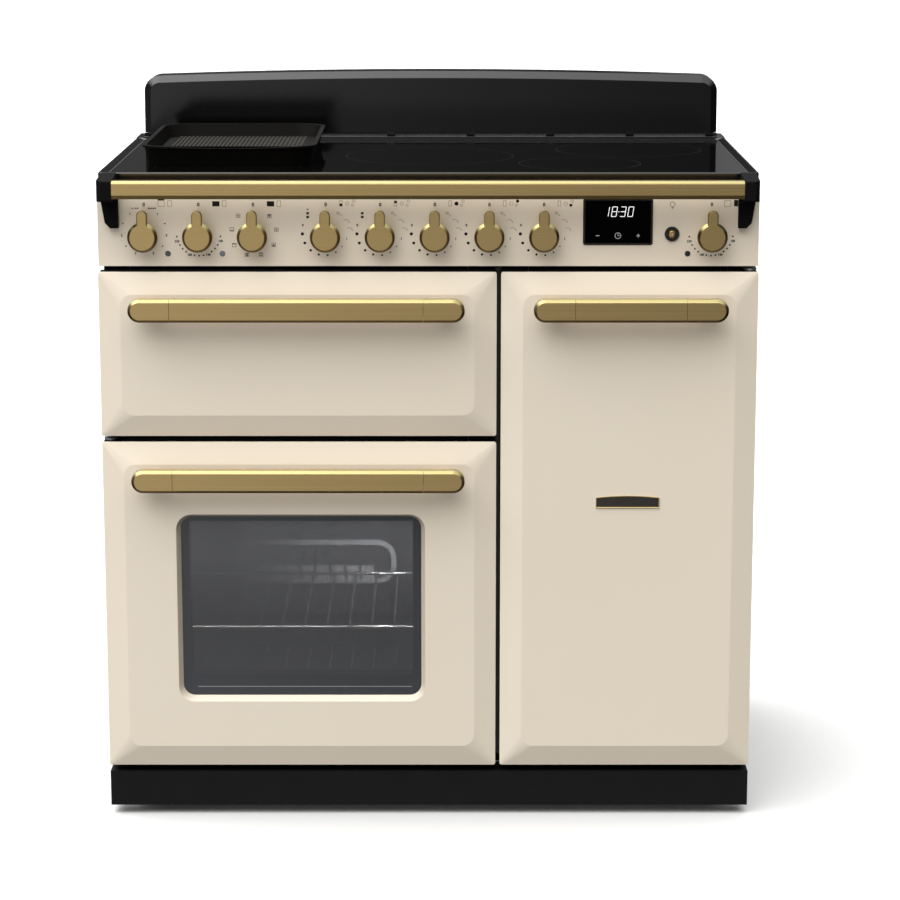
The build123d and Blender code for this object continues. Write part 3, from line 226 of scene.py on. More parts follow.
oven_fleck_scale, oven_fleck_size = 420.0, 0.16
oven_blotch_scale, oven_blotch_gloss = 30.0, 0.15
oven_grain_scale, oven_grain_depth = 180.0, 0.02 * MM


def speckled(name, colour, fleck):
    """Oven enamel with fine pale flecks."""
    patch_scale, patch_level, gloss = 90.0, 0.52, 0.22
    finish = Finish(name, {"IOR": 1.5, "Coat Weight": 0.2, "Coat Roughness": 0.08})
    patches = finish.noise(patch_scale) > patch_level
    flecks = (finish.cells(oven_fleck_scale) < oven_fleck_size) * patches
    finish.set("Base Color", finish.mix(flecks, colour, fleck))
    finish.set("Roughness", gloss + oven_blotch_gloss * finish.noise(oven_blotch_scale))
    finish.relief(finish.noise(oven_grain_scale), oven_grain_depth)
    return finish


def moulded(name, colour, shadow, roughness=0.45, grain=900.0, specular=0.5):
    """Moulded plastic, rubber or powder coat with a fine grain."""
    drift_scale, pebble_gloss, pebble_depth = 25.0, 0.15, 0.02 * MM
    finish = Finish(name, {"IOR": 1.48, "Specular IOR Level": specular})
    pebble = finish.noise(grain, detail=1.0)
    finish.set("Base Color", finish.mix(finish.noise(drift_scale), shadow, colour))
    finish.set("Roughness", roughness + pebble_gloss * pebble)
    finish.relief(pebble, pebble_depth)
    return finish


def spangled(name, colour, shadow):
    """Galvanised sheet with its crystal spangle."""
    crystal_scale, wave_scale, wave_depth = 110.0, 60.0, 0.03 * MM
    gloss, crystal_gloss = 0.34, 0.14
    finish = Finish(name, {"Metallic": 1.0})
    shades = finish.cells(crystal_scale, "Color")
    crystal = finish.node("ShaderNodeSeparateColor", inputs={"Color": shades})
    finish.set("Base Color", finish.mix(crystal, shadow, colour))
    finish.set("Roughness", gloss + crystal_gloss * crystal)
    finish.relief(finish.noise(wave_scale), wave_depth)
    return finish


def bright(name, colour, stain):
    """Plated wire, slightly stained by heat."""
    heat_scale, pit_scale, pit_depth = 18.0, 700.0, 0.004 * MM
    gloss, heat_gloss = 0.12, 0.12
    finish = Finish(name, {"Metallic": 1.0})
    heat = finish.noise(heat_scale)
    finish.set("Base Color", finish.mix(heat * heat, colour, stain))
    finish.set("Roughness", gloss + heat_gloss * heat)
    finish.relief(finish.noise(pit_scale), pit_depth)
    return finish


def glowing(name, colour, strength):
    """Lit bars of the clock, with a faint unevenness."""
    uneven_scale, uneven_share = 500.0, 0.15
    cool_white = tint(203, 211, 218)
    finish = Finish(name, {"Base Color": colour, "Roughness": 0.4, "Emission Strength": strength})
    unevenness = uneven_share * finish.noise(uneven_scale)
    finish.set("Emission Color", finish.mix(unevenness, colour, cool_white))
    return finish


ALONG_X = (5.0, 1500.0, 1500.0)  # lines of the grain for each metre, along each axis
ALONG_Y = (1200.0, 6.0, 1200.0)
EVERY_WAY = (900.0, 900.0, 900.0)
brass_light = tint(213, 185, 129)
brass_dark = tint(183, 156, 103)
# Painted highlight and painted shade for the edges of the brass parts
painted_highlight_brass = tint(152, 144, 100)
painted_shade_brass = tint(98, 82, 50)

hard_gloss = {"gloss": 0.08, "peel_depth": 0.004 * MM, "coat": 0.0, "specular": 0.42}
plinth_coat = {"roughness": 0.55, "grain": 1400.0, "specular": 0.12}
bracket_coat = {"roughness": 0.6, "grain": 1400.0, "specular": 0.03}
vent_coat = {"roughness": 0.45, "grain": 700.0, "specular": 0.3}
ink_coat = {"roughness": 0.55, "grain": 900.0, "specular": 0.2}
cream_enamel = enamel("cream_enamel", tint(245, 233, 213), tint(242, 229, 208))
black_enamel = enamel("black_enamel", tint(12, 12, 13), tint(8, 8, 9), **hard_gloss)
powder_black = moulded("powder_black", tint(27, 27, 28), tint(22, 22, 23), **plinth_coat)
bracket_black = moulded("bracket_black", tint(23, 22, 22), tint(19, 18, 18), **bracket_coat)
brass = brushed("brass", brass_light, brass_dark, ALONG_X)
oven_enamel = speckled("oven_enamel", tint(62, 63, 66), tint(150, 152, 156))
grey_steel = moulded("grey_steel", tint(52, 52, 54), tint(44, 44, 46), roughness=0.42, grain=700.0)
zinc_steel = spangled("zinc_steel", tint(196, 198, 200), tint(160, 163, 166))
bright_wire = bright("bright_wire", tint(226, 226, 228), tint(196, 188, 172))
element_steel = bright("element_steel", tint(92, 90, 88), tint(70, 62, 54))
black_plastic = moulded("black_plastic", tint(30, 30, 31), tint(22, 22, 23))
roller_nylon = moulded("roller_nylon", tint(88, 88, 90), tint(74, 74, 76), roughness=0.5)
seal_rubber = moulded("seal_rubber", tint(34, 34, 35), tint(26, 26, 27), roughness=0.7, grain=1200.0)
copper = brushed("copper", tint(201, 128, 88), tint(168, 96, 62), EVERY_WAY, roughness=0.35)
heat_sink = brushed("heat_sink", tint(200, 201, 204), tint(176, 178, 182), ALONG_Y, roughness=0.35)
dark_ink = moulded("dark_ink", tint(30, 26, 22), tint(22, 19, 16), **ink_coat)
pale_ink = moulded("pale_ink", tint(150, 134, 112), tint(138, 122, 100), **ink_coat)
digit_glow = glowing("digit_glow", tint(246, 247, 248), strength=0.75)
symbol_glow = glowing("symbol_glow", tint(160, 163, 167), strength=0.35)
vent_grey = moulded("vent_grey", tint(92, 92, 94), tint(82, 82, 84), **vent_coat)
plate_black = enamel("plate_black", tint(46, 41, 34), tint(38, 34, 28), gloss=0.3)


def ceramic_glass(rings, squares):
    """Black glass-ceramic with thin printed cooking zones."""
    print_half, print_gloss = 0.45 * MM, 0.2
    gloss, smear_gloss, smear_scale = 0.045, 0.03, 12.0
    wave_scale, wave_depth = 40.0, 0.001 * MM
    finish = Finish("hob_glass", {"IOR": 1.53, "Specular IOR Level": 0.4})
    x, y, _ = finish.axes()
    reaches = []
    for centre_x, centre_y, radius in rings:
        across, along = x - centre_x, y - centre_y
        reaches.append((across * across + along * along).root() - radius)
    for centre_x, centre_y, half_x, half_y in squares:
        reaches.append((abs(x - centre_x) - half_x).most(abs(y - centre_y) - half_y))
    outlines = [abs(reach) < print_half for reach in reaches]
    print_mask = outlines[0]
    for outline in outlines[1:]:
        print_mask = print_mask.most(outline)
    smear = smear_gloss * finish.noise(smear_scale)
    finish.set("Base Color", finish.mix(print_mask, tint(5, 5, 5), tint(26, 26, 27)))
    finish.set("Roughness", gloss + smear + print_gloss * print_mask)
    finish.relief(finish.noise(wave_scale), wave_depth)
    return finish


# Cooking zones: centre and radius of the round ones, centre and half sizes of the two under the griddle
hob_low, hob_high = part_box("hob_glass")
hob_mid_y = (hob_low.y + hob_high.y) / 2
griddle_low, griddle_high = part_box("griddle")
griddle_mid = (griddle_low + griddle_high) / 2
zone_rings = (
    (0.0, hob_mid_y, 0.120),
    (hob_high.x - 0.225, hob_low.y + 0.132, 0.0855),
    (hob_high.x - 0.145, hob_high.y - 0.145, 0.1065),
)
zone_half_x, zone_half_y, zone_offset = 0.102, 0.092, 0.095
zone_squares = [
    (griddle_mid.x, griddle_mid.y + side * zone_offset, zone_half_x, zone_half_y) for side in (-1, 1)
]


def door_glass(low, high):
    """Two panes: the outer one smoked and printed round its edge, the inner one nearly clear."""
    finish = Finish("door_glass", {"IOR": 1.52, "Coat Weight": 0.2, "Coat Roughness": 0.02})
    x, y, z = finish.axes()
    outer = y < (low.y + high.y) / 2
    side_print, foot_print, head_print = 0.039, 0.055, 0.034
    line_left, line_right, line_z, line_half = 0.047, 0.041, 0.1862, 0.35 * MM
    inner_clearness, outer_smoke, smoke_foot = 0.9, 0.55, 0.27
    gloss, smear_gloss, smear_scale, smear_depth = 0.03, 0.04, 14.0, 0.002 * MM
    hairline = x.within(low.x + line_left, high.x - line_right) * (abs(z - line_z) < line_half)
    field_across = x.within(low.x + side_print, high.x - side_print)
    field = field_across * z.within(low.z + foot_print, high.z - head_print)
    smear = finish.noise(smear_scale)
    smoke = finish.mix(z.step(smoke_foot, high.z), tint(73, 74, 76), tint(112, 113, 116))
    border = finish.mix(hairline, tint(48, 51, 55), tint(168, 168, 170))
    finish.set("Base Color", finish.mix(field, border, smoke))
    finish.set("Roughness", gloss + smear_gloss * smear)
    finish.set("Alpha", 1.0 - field * (inner_clearness - outer_smoke * outer))
    finish.relief(smear, smear_depth)
    return finish


def shaded_enamel(dark_end, light_end):
    """Enamel of the fan cover's pressed edges, with painted lamp light that makes it paler towards the
    oven lamp.
    """
    fleck_share, gloss = 0.4, 0.3
    finish = Finish("painted_lamp_light_enamel", {"IOR": 1.5, "Coat Weight": 0.2})
    x, _, _ = finish.axes()
    fleck = finish.cells(oven_fleck_scale) < oven_fleck_size
    # Painted lamp light: dark at one end of the cover, pale at the end near the oven lamp
    shade = finish.mix(x.step(dark_end, light_end), tint(62, 63, 66), tint(222, 224, 228))
    finish.set("Base Color", finish.mix(fleck_share * fleck, shade, tint(196, 198, 202)))
    finish.set("Roughness", gloss + oven_blotch_gloss * finish.noise(oven_blotch_scale))
    finish.relief(finish.noise(oven_grain_scale), oven_grain_depth)
    return finish


lens_gloss, rib_gloss, rib_depth = 0.08, 0.1, 0.1 * MM


def lamp_glass():
    """Ribbed lens over an oven lamp."""
    rib_scale = 220.0
    finish = Finish("oven_lamp_glass", {"IOR": 1.5, "Coat Weight": 0.5, "Alpha": 0.8})
    ribs = finish.noise(rib_scale)
    finish.set("Base Color", finish.mix(ribs, tint(214, 216, 214), tint(60, 64, 68)))
    finish.set("Roughness", lens_gloss + rib_gloss * ribs)
    finish.relief(ribs, rib_depth)
    return finish


def indicator_lens(low, high):
    """Smoked lenses of the three indicator lamps, each a shade of its own."""
    rib_scale, rib_share, first_lens_width = 260.0, 0.5, 0.02
    finish = Finish("indicator_lens", {"IOR": 1.5, "Coat Weight": 0.5})
    x, _, _ = finish.axes()
    ribs = finish.noise(rib_scale)
    left_two = finish.mix(x > low.x + first_lens_width, tint(70, 74, 78), tint(124, 136, 152))
    shade = finish.mix(x > (low.x + high.x) / 2, left_two, tint(38, 42, 54))
    finish.set("Base Color", finish.mix(rib_share * ribs, shade, tint(20, 22, 26)))
    finish.set("Roughness", lens_gloss + rib_gloss * ribs)
    finish.relief(ribs, rib_depth)
    return finish


def button_brass(low, high):
    """The light button's dome: brass with painted shade round its base and a painted highlight at its
    crown.
    """
    swirl_scale, swirl_gloss, swirl_depth, gloss = 900.0, 0.12, 0.004 * MM, 0.22
    finish = Finish("button_brass", {"Metallic": 1.0})
    x, _, z = finish.axes()
    across, up = x - (low.x + high.x) / 2, z - (low.z + high.z) / 2
    reach = (across * across + up * up).root()
    # Painted shade on the dome's outer slope, and a painted highlight spot at its centre
    foot, outside_glint = reach.step(3.4 * MM, 5.6 * MM), reach.step(0.5 * MM, 2.2 * MM)
    dome = finish.mix(foot, tint(190, 158, 98), tint(64, 52, 32))
    swirl = finish.noise(swirl_scale)
    finish.set("Base Color", finish.mix(outside_glint, tint(255, 250, 224), dome))
    finish.set("Roughness", gloss + swirl_gloss * swirl)
    finish.relief(swirl, swirl_depth)
    return finish


def display_panel(low, high):
    """Black glass of the clock with its dull bezel."""
    bezel_width, bezel_gloss, gloss = 2.8 * MM, 0.35, 0.08
    wave_scale, wave_depth = 300.0, 0.002 * MM
    finish = Finish("display_panel", {"IOR": 1.5, "Specular IOR Level": 0.03})
    x, _, z = finish.axes()
    middle, half = (low + high) / 2, (high - low) / 2
    bezel = (abs(x - middle.x) > half.x - bezel_width).most(abs(z - middle.z) > half.z - bezel_width)
    finish.set("Base Color", finish.mix(bezel, tint(1, 1, 1), tint(46, 43, 40)))
    finish.set("Roughness", gloss + bezel_gloss * bezel)
    finish.relief(finish.noise(wave_scale), wave_depth)
    return finish


def non_stick(low, high):
    """Cast aluminium with a black non-stick coat, paler and flecked on the ribbed floor."""
    side_wall, end_wall, floor_height = 0.027, 0.032, 0.013
    hatch_waves, hatch_share, fleck_scale, fleck_size = 1050.0, 1.5, 700.0, 0.3
    gloss, coat_gloss, coat_scale, floor_gloss = 0.36, 0.2, 400.0, 0.15
    grain_scale, grain_depth = 800.0, 0.2 * MM
    finish = Finish("non_stick", {"IOR": 1.46, "Specular IOR Level": 0.05})
    x, y, z = finish.axes()
    middle, half = (low + high) / 2, (high - low) / 2
    floor = (abs(x - middle.x) < half.x - side_wall) * (abs(y - middle.y) < half.y - end_wall)
    floor = floor * (z < low.z + floor_height)
    hatch = (y * hatch_waves).wave() * floor
    fleck = finish.cells(fleck_scale) < fleck_size
    floor_tone = finish.mix(fleck, tint(40, 39, 36), tint(64, 62, 57))
    finish.set("Base Color", finish.mix(floor, tint(12, 11, 9), floor_tone))
    finish.set("Roughness", gloss + coat_gloss * finish.noise(coat_scale) + floor_gloss * floor)
    finish.relief(finish.noise(grain_scale) + hatch_share * hatch, grain_depth)
    return finish


finish_of_slot = {
    "cream_enamel": cream_enamel,
    "black_enamel": black_enamel,
    "oven_enamel": oven_enamel,
    "grey_steel": grey_steel,
    "zinc_steel": zinc_steel,
    "brass": brass,
    "bright_wire": bright_wire,
    "element_steel": element_steel,
    "hob_glass": ceramic_glass(zone_rings, zone_squares),
    "window_glass": door_glass(*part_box("left_door_glass")),
    "clear_glass": lamp_glass(),
    "black_plastic": black_plastic,
    "display_black": display_panel(*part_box("clock_module")),
    "lens": indicator_lens(*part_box("indicator_lamps")),
    "seal_rubber": seal_rubber,
    "roller_nylon": roller_nylon,
    "copper": copper,
    "cast_aluminium": non_stick(griddle_low, griddle_high),
    "heat_sink": heat_sink,
}
finish_of_node = {
    "light_button": button_brass(*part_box("light_button")),
    "rail_brackets": bracket_black,
    "plinth": powder_black,
}
# One brass for each front face, because its edges of painted highlight and painted shade lie behind that
# face
brass_by_place = {}
rail_lip = 4 * MM
for subpart in frame["record"]["subparts"]:
    name, slot = subpart["node"], subpart["material_slot"]
    finish = finish_of_node.get(name, finish_of_slot[slot])
    if slot == "brass" and name not in finish_of_node:
        low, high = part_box(name)
        place = (round(low.y, 4), round((low.z + high.z) / 2, 3))
        if place not in brass_by_place:
            edges = {"front": place[0], "middle": place[1]}
            # The rail's lowest strip takes the painted shade too
            if name == "handrail":
                edges["foot"] = low.z + rail_lip
            brass_by_place[place] = brushed(f"{name}_brass", brass_light, brass_dark, ALONG_X, **edges)
        finish = brass_by_place[place]
    nodes[name].data.materials.clear()
    nodes[name].data.materials.append(finish.material)


# Modelling helpers
def clear_selection():
    bpy.ops.object.select_all(action="DESELECT")


def edit(*steps):
    """Runs edit-mode steps on the whole of the active piece."""
    bpy.ops.object.mode_set(mode="EDIT")
    bpy.ops.mesh.select_all(action="SELECT")
    for step in steps:
        step()
    bpy.ops.object.mode_set(mode="OBJECT")


def apply_modifier(piece, kind, **settings):
    bpy.context.view_layer.objects.active = piece
    modifier = piece.modifiers.new(kind.lower(), kind)
    for setting, value in settings.items():
        setattr(modifier, setting, value)
    bpy.ops.object.modifier_apply(modifier=modifier.name)


def copy_of(shape):
    """A copy with a mesh of its own."""
    copy = shape.copy()
    copy.data = shape.data.copy()
    bpy.context.collection.objects.link(copy)
    return copy


def joined(name, parts, finish):
    """Several parts as one named piece of one finish."""
    clear_selection()
    for part in parts:
        part.select_set(True)
    bpy.context.view_layer.objects.active = parts[0]
    bpy.ops.object.join()
    piece = bpy.context.object
    piece.name = piece.data.name = name
    piece.data.materials.clear()
    piece.data.materials.append(finish.material)
    return piece


def hollow(line):
    edit(
        lambda: bpy.ops.mesh.inset(thickness=line),
        lambda: bpy.ops.mesh.delete(type="FACE"),
    )


def flat_disc(diameter=1.0, line=None):
    """A flat disc, or a ring with that width of line."""
    clear_selection()
    bpy.ops.mesh.primitive_circle_add(vertices=32, radius=diameter / 2, fill_type="NGON")
    if line:
        hollow(line)
    return bpy.context.object


def flat_bar(width=1.0, height=1.0, line=None, corner=None):
    """A flat rectangle, with round corners if asked, or its outline with that width of line."""
    clear_selection()
    bpy.ops.mesh.primitive_plane_add(size=1)
    piece = bpy.context.object
    piece.scale = (width, height, 1)
    bpy.ops.object.transform_apply(location=False, rotation=False, scale=True)
    if corner:
        edit(lambda: bpy.ops.mesh.bevel(offset=corner, segments=10, affect="VERTICES"))
    if line:
        hollow(line)
    return piece


def flat_words(text, size, boldness=0.04):
    """Flat figures of the plain built-in face."""
    clear_selection()
    bpy.ops.object.text_add()
    words = bpy.context.object
    words.data.body = text
    words.data.size = size
    words.data.offset = boldness * size
    words.data.align_x = "CENTER"
    words.data.align_y = "CENTER"
    words.data.resolution_u = 3
    bpy.ops.object.convert(target="MESH")
    return bpy.context.object


class Print:
    """Flat marks that are set on an upright face, then joined and given a thickness."""

    def __init__(self, name, finish, face_y, thickness=0.1 * MM):
        self.name = name
        self.finish = finish
        self.face_y = face_y
        self.thickness = thickness
        self.marks = []

    def set(self, mark, x, z, width=1.0, height=None, turn=0.0, lean=0.0):
        """Moves a mark to its place on the face."""
        place = Matrix.Translation((x, self.face_y, z)) @ UPRIGHT @ Matrix.Rotation(turn, 4, "Z")
        slant = Matrix.Identity(4)
        slant[0][1] = lean
        spread = Matrix.Diagonal((width, width if height is None else height, 1, 1))
        mark.data.transform(place @ slant @ spread)
        self.marks.append(mark)

    def finish_piece(self):
        piece = joined(self.name, self.marks, self.finish)
        apply_modifier(piece, "SOLIDIFY", thickness=self.thickness, offset=1.0)
        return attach(piece, "chassis")


# Marks printed on the fascia
fascia_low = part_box("fascia")[0]
dial_height = 44 * MM
dial_z = fascia_low.z + dial_height
dot = flat_disc()
bar = flat_bar()
dark_print = Print("control_markings", dark_ink, fascia_low.y)
pale_print = Print("zone_outlines", pale_ink, fascia_low.y)


class Dial:
    """The marks about one control, placed in millimetres from its centre."""

    def __init__(self, name):
        low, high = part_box(name)
        self.x = (low.x + high.x) / 2

    def put(self, mark, x, z, ink, **settings):
        ink.set(mark, self.x + x * MM, dial_z + z * MM, **settings)

    def dot(self, x, z, diameter, ink=dark_print):
        self.put(copy_of(dot), x, z, ink, width=diameter * MM)

    def bar(self, x, z, width, height, ink=dark_print, turn=0.0):
        size = {"width": width * MM, "height": height * MM}
        self.put(copy_of(bar), x, z, ink, turn=math.radians(turn), **size)

    def frame(self, x, z, width, height, ink=dark_print, line=0.5):
        self.put(flat_bar(width * MM, height * MM, line * MM), x, z, ink)

    def ring(self, x, z, diameter, ink=dark_print, line=0.5):
        self.put(flat_disc(diameter * MM, line * MM), x, z, ink)

    def words(self, text, x, z, size, ink=dark_print):
        self.put(flat_words(text, size * MM), x, z, ink)


def round_dial(angle, radius):
    """A place on a dial, with the angle in degrees clockwise from the top."""
    turn = math.radians(angle)
    return radius * math.sin(turn), radius * math.cos(turn)


def oven_symbol(dial, left_filled, right_filled, shift=0.0):
    """The two cavities of the cooker, the one that the knob works filled in."""
    if left_filled:
        dial.bar(24.2, 41.0, 9.8, 6.9)
    else:
        dial.frame(24.0 + shift, 41.4, 9.2, 8.6, pale_print)
    if right_filled:
        dial.bar(35.2 + shift, 42.0, 5.4, 8.8)
    else:
        dial.frame(35.5 + shift, 41.4, 5.6, 8.5, pale_print)


zero_x, zero_z, zero_size = 0.3, 39.8, 6.6
knob_names = [name for name in nodes if name.startswith("knob_")]
for name in knob_names:
    Dial(name).words("0", zero_x, zero_z, zero_size)

# Grill dial: part and full element bars above, steps 1 to 3 down each side
grill_dial = Dial("knob_grill")
element_z, element_start, element_pitch = 34.9, 7.2, 2.9
for x, width, ink in ((-15.4, 3.2, pale_print), (-10.8, 2.2, dark_print), (-8.0, 2.2, dark_print)):
    grill_dial.bar(x, element_z, width, 1.3, ink)
for count in range(4):
    grill_dial.bar(element_start + element_pitch * count, element_z, 2.3, 1.5)
grill_figures = (("1", 34.3, 32.8), ("2", 94.1, 30.5), ("3", 155.5, 29.2))
grill_dots = ((63.7, 31.8), (124.0, 29.9))
for side in (-1, 1):
    for figure, angle, radius in grill_figures:
        x, z = round_dial(angle, radius)
        grill_dial.words(figure, side * x, z, 4.4)
    for angle, radius in grill_dots:
        x, z = round_dial(angle, radius)
        grill_dial.dot(side * x, z, 2.1)
oven_symbol(grill_dial, False, False)
grill_dial.bar(24.0, 46.9, 9.4, 2.0)

# Temperature dials: a dot for each ten degrees, and every fourth one a figure
scale_marks = (".", "100", ".", ".", ".", "140", ".", ".", ".", "180", ".", ".", ".", "220", ".")
scale_start, scale_step = 96.6, 11.87
scale_radius, scale_dot, figure_radius, figure_size = 29.8, 2.4, 31.2, 4.2
scale_dials = (("left_temperature", (True, False), 0.0), ("right_temperature", (False, True), -2.2))
for name, filled, shift in scale_dials:
    dial = Dial(f"knob_{name}")
    for count, mark in enumerate(scale_marks):
        angle = scale_start + count * scale_step
        if mark == ".":
            dial.dot(*round_dial(angle, scale_radius), scale_dot)
        else:
            dial.words(mark, *round_dial(angle, figure_radius), figure_size)
    oven_symbol(dial, *filled, shift)

# Function dial: a small oven for each function, with its heated sides and its fan
function_dial = Dial("knob_left_function")
oven_symbol(function_dial, True, False)
function_places = (
    (22.4, 24.3, "top fan"), (31.7, 5.8, "fan"), (27.8, -14.9, "fan bottom"), (10.5, -28.2, "top bottom"),
    (-8.6, -28.4, "top bottom fan"), (-25.7, -15.3, "top"), (-28.7, 6.1, "bottom"), (-20.0, 24.7, "fan"),
)
side_reach, side_length, side_line = 1.4, 3.8, 0.8
for x, z, parts in function_places:
    function_dial.frame(x, z, 5.6, 5.2)
    if "top" in parts:
        function_dial.bar(x, z + side_reach, side_length, side_line)
    if "bottom" in parts:
        function_dial.bar(x, z - side_reach, side_length, side_line)
    if "fan" in parts:
        function_dial.ring(x, z, 2.4, line=0.7)

# Hob dials: dots that grow with the heat, low-heat symbols, and the zone that each knob works
zone_circles = ((29.6, 41.3, 5.0), (38.4, 44.7, 4.0), (36.6, 39.1, 3.6))
bridge_x, bridge_z, half_zone, bridge_mark_x = 21.0, 41.5, 3.6, -24.2
heat_steps, heat_start, heat_turn = 7, 270, 23.7
heat_radius, radius_step, heat_dot, dot_step = 31.6, 0.6, 4.4, 0.44
low_heat_places = ((29.0, 18.4), (33.7, 7.2))
handle_slope, steam_slope = -48, 10
for zone in range(1, 6):
    dial = Dial(f"knob_hob_{zone}")
    for count in range(heat_steps):
        place = round_dial(heat_start - heat_turn * count, heat_radius - radius_step * count)
        dial.dot(*place, heat_dot - dot_step * count)
    dial.words("9", *round_dial(290.5, 33.1), 4.8)
    dial.words("1", *round_dial(103.3, 29.5), 4.8)
    dial.ring(17.0, 28.4, 3.6, pale_print, 0.6)
    dial.bar(20.6, 25.8, 4.2, 0.6, pale_print, handle_slope)
    for x, z in low_heat_places:
        dial.bar(x - 2.2, z + 1.1, 4.4, 0.6, pale_print, steam_slope)
        dial.bar(x + 2.0, z - 1.0, 4.8, 0.7, pale_print, handle_slope)
    dial.frame(bridge_x, bridge_z, 4.2, 7.8, pale_print)
    if zone == 1:
        dial.bar(bridge_x, bridge_z - 1.9, half_zone, half_zone)
        dial.bar(bridge_mark_x, 33.4, 2.6, 2.2, pale_print)
    if zone == 2:
        dial.bar(bridge_x, bridge_z + 2.1, half_zone, half_zone)
    if zone < 3:
        for row in range(2):
            dial.bar(bridge_mark_x, 23.0 + 5.1 * row, 3.6, 3.2)
    for count, (x, z, diameter) in enumerate(zone_circles):
        if count == zone - 3:
            dial.dot(x, z, diameter + 0.4)
        else:
            dial.ring(x, z, diameter, pale_print)

# Light button: a bulb over its cap
bulb_x = 0.3
light_dial = Dial("light_button")
light_dial.ring(bulb_x, 40.4, 7.4, pale_print, 0.7)
light_dial.bar(bulb_x, 36.0, 3.0, 0.9, pale_print)
light_dial.bar(bulb_x, 34.6, 1.8, 0.8, pale_print)
dark_print.finish_piece()
pale_print.finish_piece()

# Clock face: seven-bar figures and touch symbols
clock_low, clock_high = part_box("clock_module")
clock_mid = (clock_low + clock_high) / 2
lit_thickness = 0.05 * MM
digits = Print("clock_digits", digit_glow, clock_low.y, lit_thickness)
symbols = Print("clock_symbols", symbol_glow, clock_low.y, lit_thickness)
digit_width, digit_height, digit_line, digit_lean = 7.4 * MM, 14.0 * MM, 0.9 * MM, 0.16
bars_of_digit = {"1": "bc", "8": "abcdefg", "3": "abcdg", "0": "abcdef"}
bar_places = {
    "a": (0, 1), "b": (1, 0.5), "c": (1, -0.5), "d": (0, -1), "e": (-1, -0.5), "f": (-1, 0.5), "g": (0, 0),
}
digit_z = clock_mid.z + 13.8 * MM
digit_gap = 1.1 * digit_line
level_bar = {"width": digit_width - digit_gap, "height": digit_line}
upright_bar = {"width": digit_line, "height": digit_height / 2 - digit_gap, "lean": digit_lean}
for figure, offset in (("1", -15.8), ("8", -5.1), ("3", 6.7), ("0", 17.1)):
    for key in bars_of_digit[figure]:
        across, up = bar_places[key]
        z = up * (digit_height - digit_line) / 2
        x = offset * MM + across * (digit_width - digit_line) / 2 + digit_lean * z
        size = upright_bar if across else level_bar
        digits.set(copy_of(bar), clock_mid.x + x, digit_z + z, **size)
middle_dot_x, middle_dot = clock_mid.x + 0.9 * MM, 1.4 * MM
digits.set(copy_of(dot), middle_dot_x, digit_z, middle_dot)
symbol_z, symbol_reach = clock_mid.z - 18.9 * MM, 27.6 * MM
ring_size, ring_line, hand_line = 8.6 * MM, 0.8 * MM, 0.8 * MM
symbols.set(copy_of(bar), clock_mid.x - symbol_reach, symbol_z, 5.0 * MM, 1.0 * MM)
for turn in (0, math.pi / 2):
    symbols.set(copy_of(bar), clock_mid.x + symbol_reach, symbol_z, 4.6 * MM, 1.1 * MM, turn)
symbols.set(flat_disc(ring_size, ring_line), clock_mid.x, symbol_z)
symbols.set(copy_of(bar), clock_mid.x, symbol_z + 1.2 * MM, hand_line, 2.6 * MM)
symbols.set(copy_of(bar), clock_mid.x + 1.0 * MM, symbol_z, 2.4 * MM, hand_line)
digits.finish_piece()
symbols.finish_piece()

# Pressed rim on the left oven's fan cover, and slanted pieces that stand in for the shelf rods' shadow
# stripes on it
baffle_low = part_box("fan_baffles")[0]
left_oven_x, right_oven_x = -0.178, 0.274
cover_z, cover_width, cover_height = 0.2625, 0.250, 0.069
rim_line, rim_corner, rim_thickness = 8 * MM, 30 * MM, 1.6 * MM
# The fan cover's enamel carries painted lamp light, pale towards the lamp
painted_lamp_light_enamel = shaded_enamel(left_oven_x - cover_width / 2, left_oven_x + cover_width / 2)
rim = Print("fan_cover_rim", painted_lamp_light_enamel, baffle_low.y, rim_thickness)
rim.set(flat_bar(cover_width, cover_height, rim_line, rim_corner), left_oven_x, cover_z)
rim.finish_piece()
# These slanted pieces are painted light and shade, not a real part: they stand in for the stripes of light
# and shadow that the shelf rods cast on the cover
stripe_count, stripe_pitch, stripe_drop = 8, 23.2 * MM, 16 * MM
stripe_size = {"width": 19 * MM, "height": 20 * MM, "lean": -0.12}
shadow_stripes = Print("fan_cover_shadow_stripes", painted_lamp_light_enamel, baffle_low.y, 1.0 * MM)
for count in range(stripe_count):
    x = left_oven_x + (count - (stripe_count - 1) / 2) * stripe_pitch
    shadow_stripes.set(copy_of(bar), x, cover_z - stripe_drop, **stripe_size)
shadow_stripes.finish_piece()
for shape in (dot, bar):
    bpy.data.objects.remove(shape)


# Bare plate on the right door
def bare_plate(name, x, z, face_y, body):
    """A plate with a bowed top, a brass rim and nothing on it."""
    bow, thickness, rim_width = 2.5 * MM, 1.6 * MM, 1.1 * MM
    clear_selection()
    bpy.ops.mesh.primitive_grid_add(x_subdivisions=24, y_subdivisions=1, size=1)
    piece = bpy.context.object
    piece.name = piece.data.name = name
    middle, half = (x[0] + x[1]) / 2, (x[1] - x[0]) / 2
    for vertex in piece.data.vertices:
        share = 2 * vertex.co.x
        top = z[1] + bow * (1 - share * share)
        vertex.co = (middle + share * half, face_y, top if vertex.co.y > 0 else z[0])
    piece.data.materials.append(brass.material)
    piece.data.materials.append(plate_black.material)
    piece.active_material_index = 1
    edit(
        lambda: bpy.ops.mesh.extrude_region_move(TRANSFORM_OT_translate={"value": (0, -thickness, 0)}),
        lambda: bpy.ops.mesh.inset(thickness=rim_width, use_even_offset=True),
        lambda: bpy.ops.object.material_slot_assign(),
        lambda: bpy.ops.transform.translate(value=(0, thickness / 3, 0)),
        lambda: bpy.ops.mesh.select_all(action="SELECT"),
        lambda: bpy.ops.mesh.normals_make_consistent(inside=False),
    )
    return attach(piece, body)


door_face_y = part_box("right_door_panel")[0].y
plate_x, plate_z = (0.2306, 0.3177), (0.4462, 0.4605)
bare_plate("door_plate", plate_x, plate_z, door_face_y, "right_door")


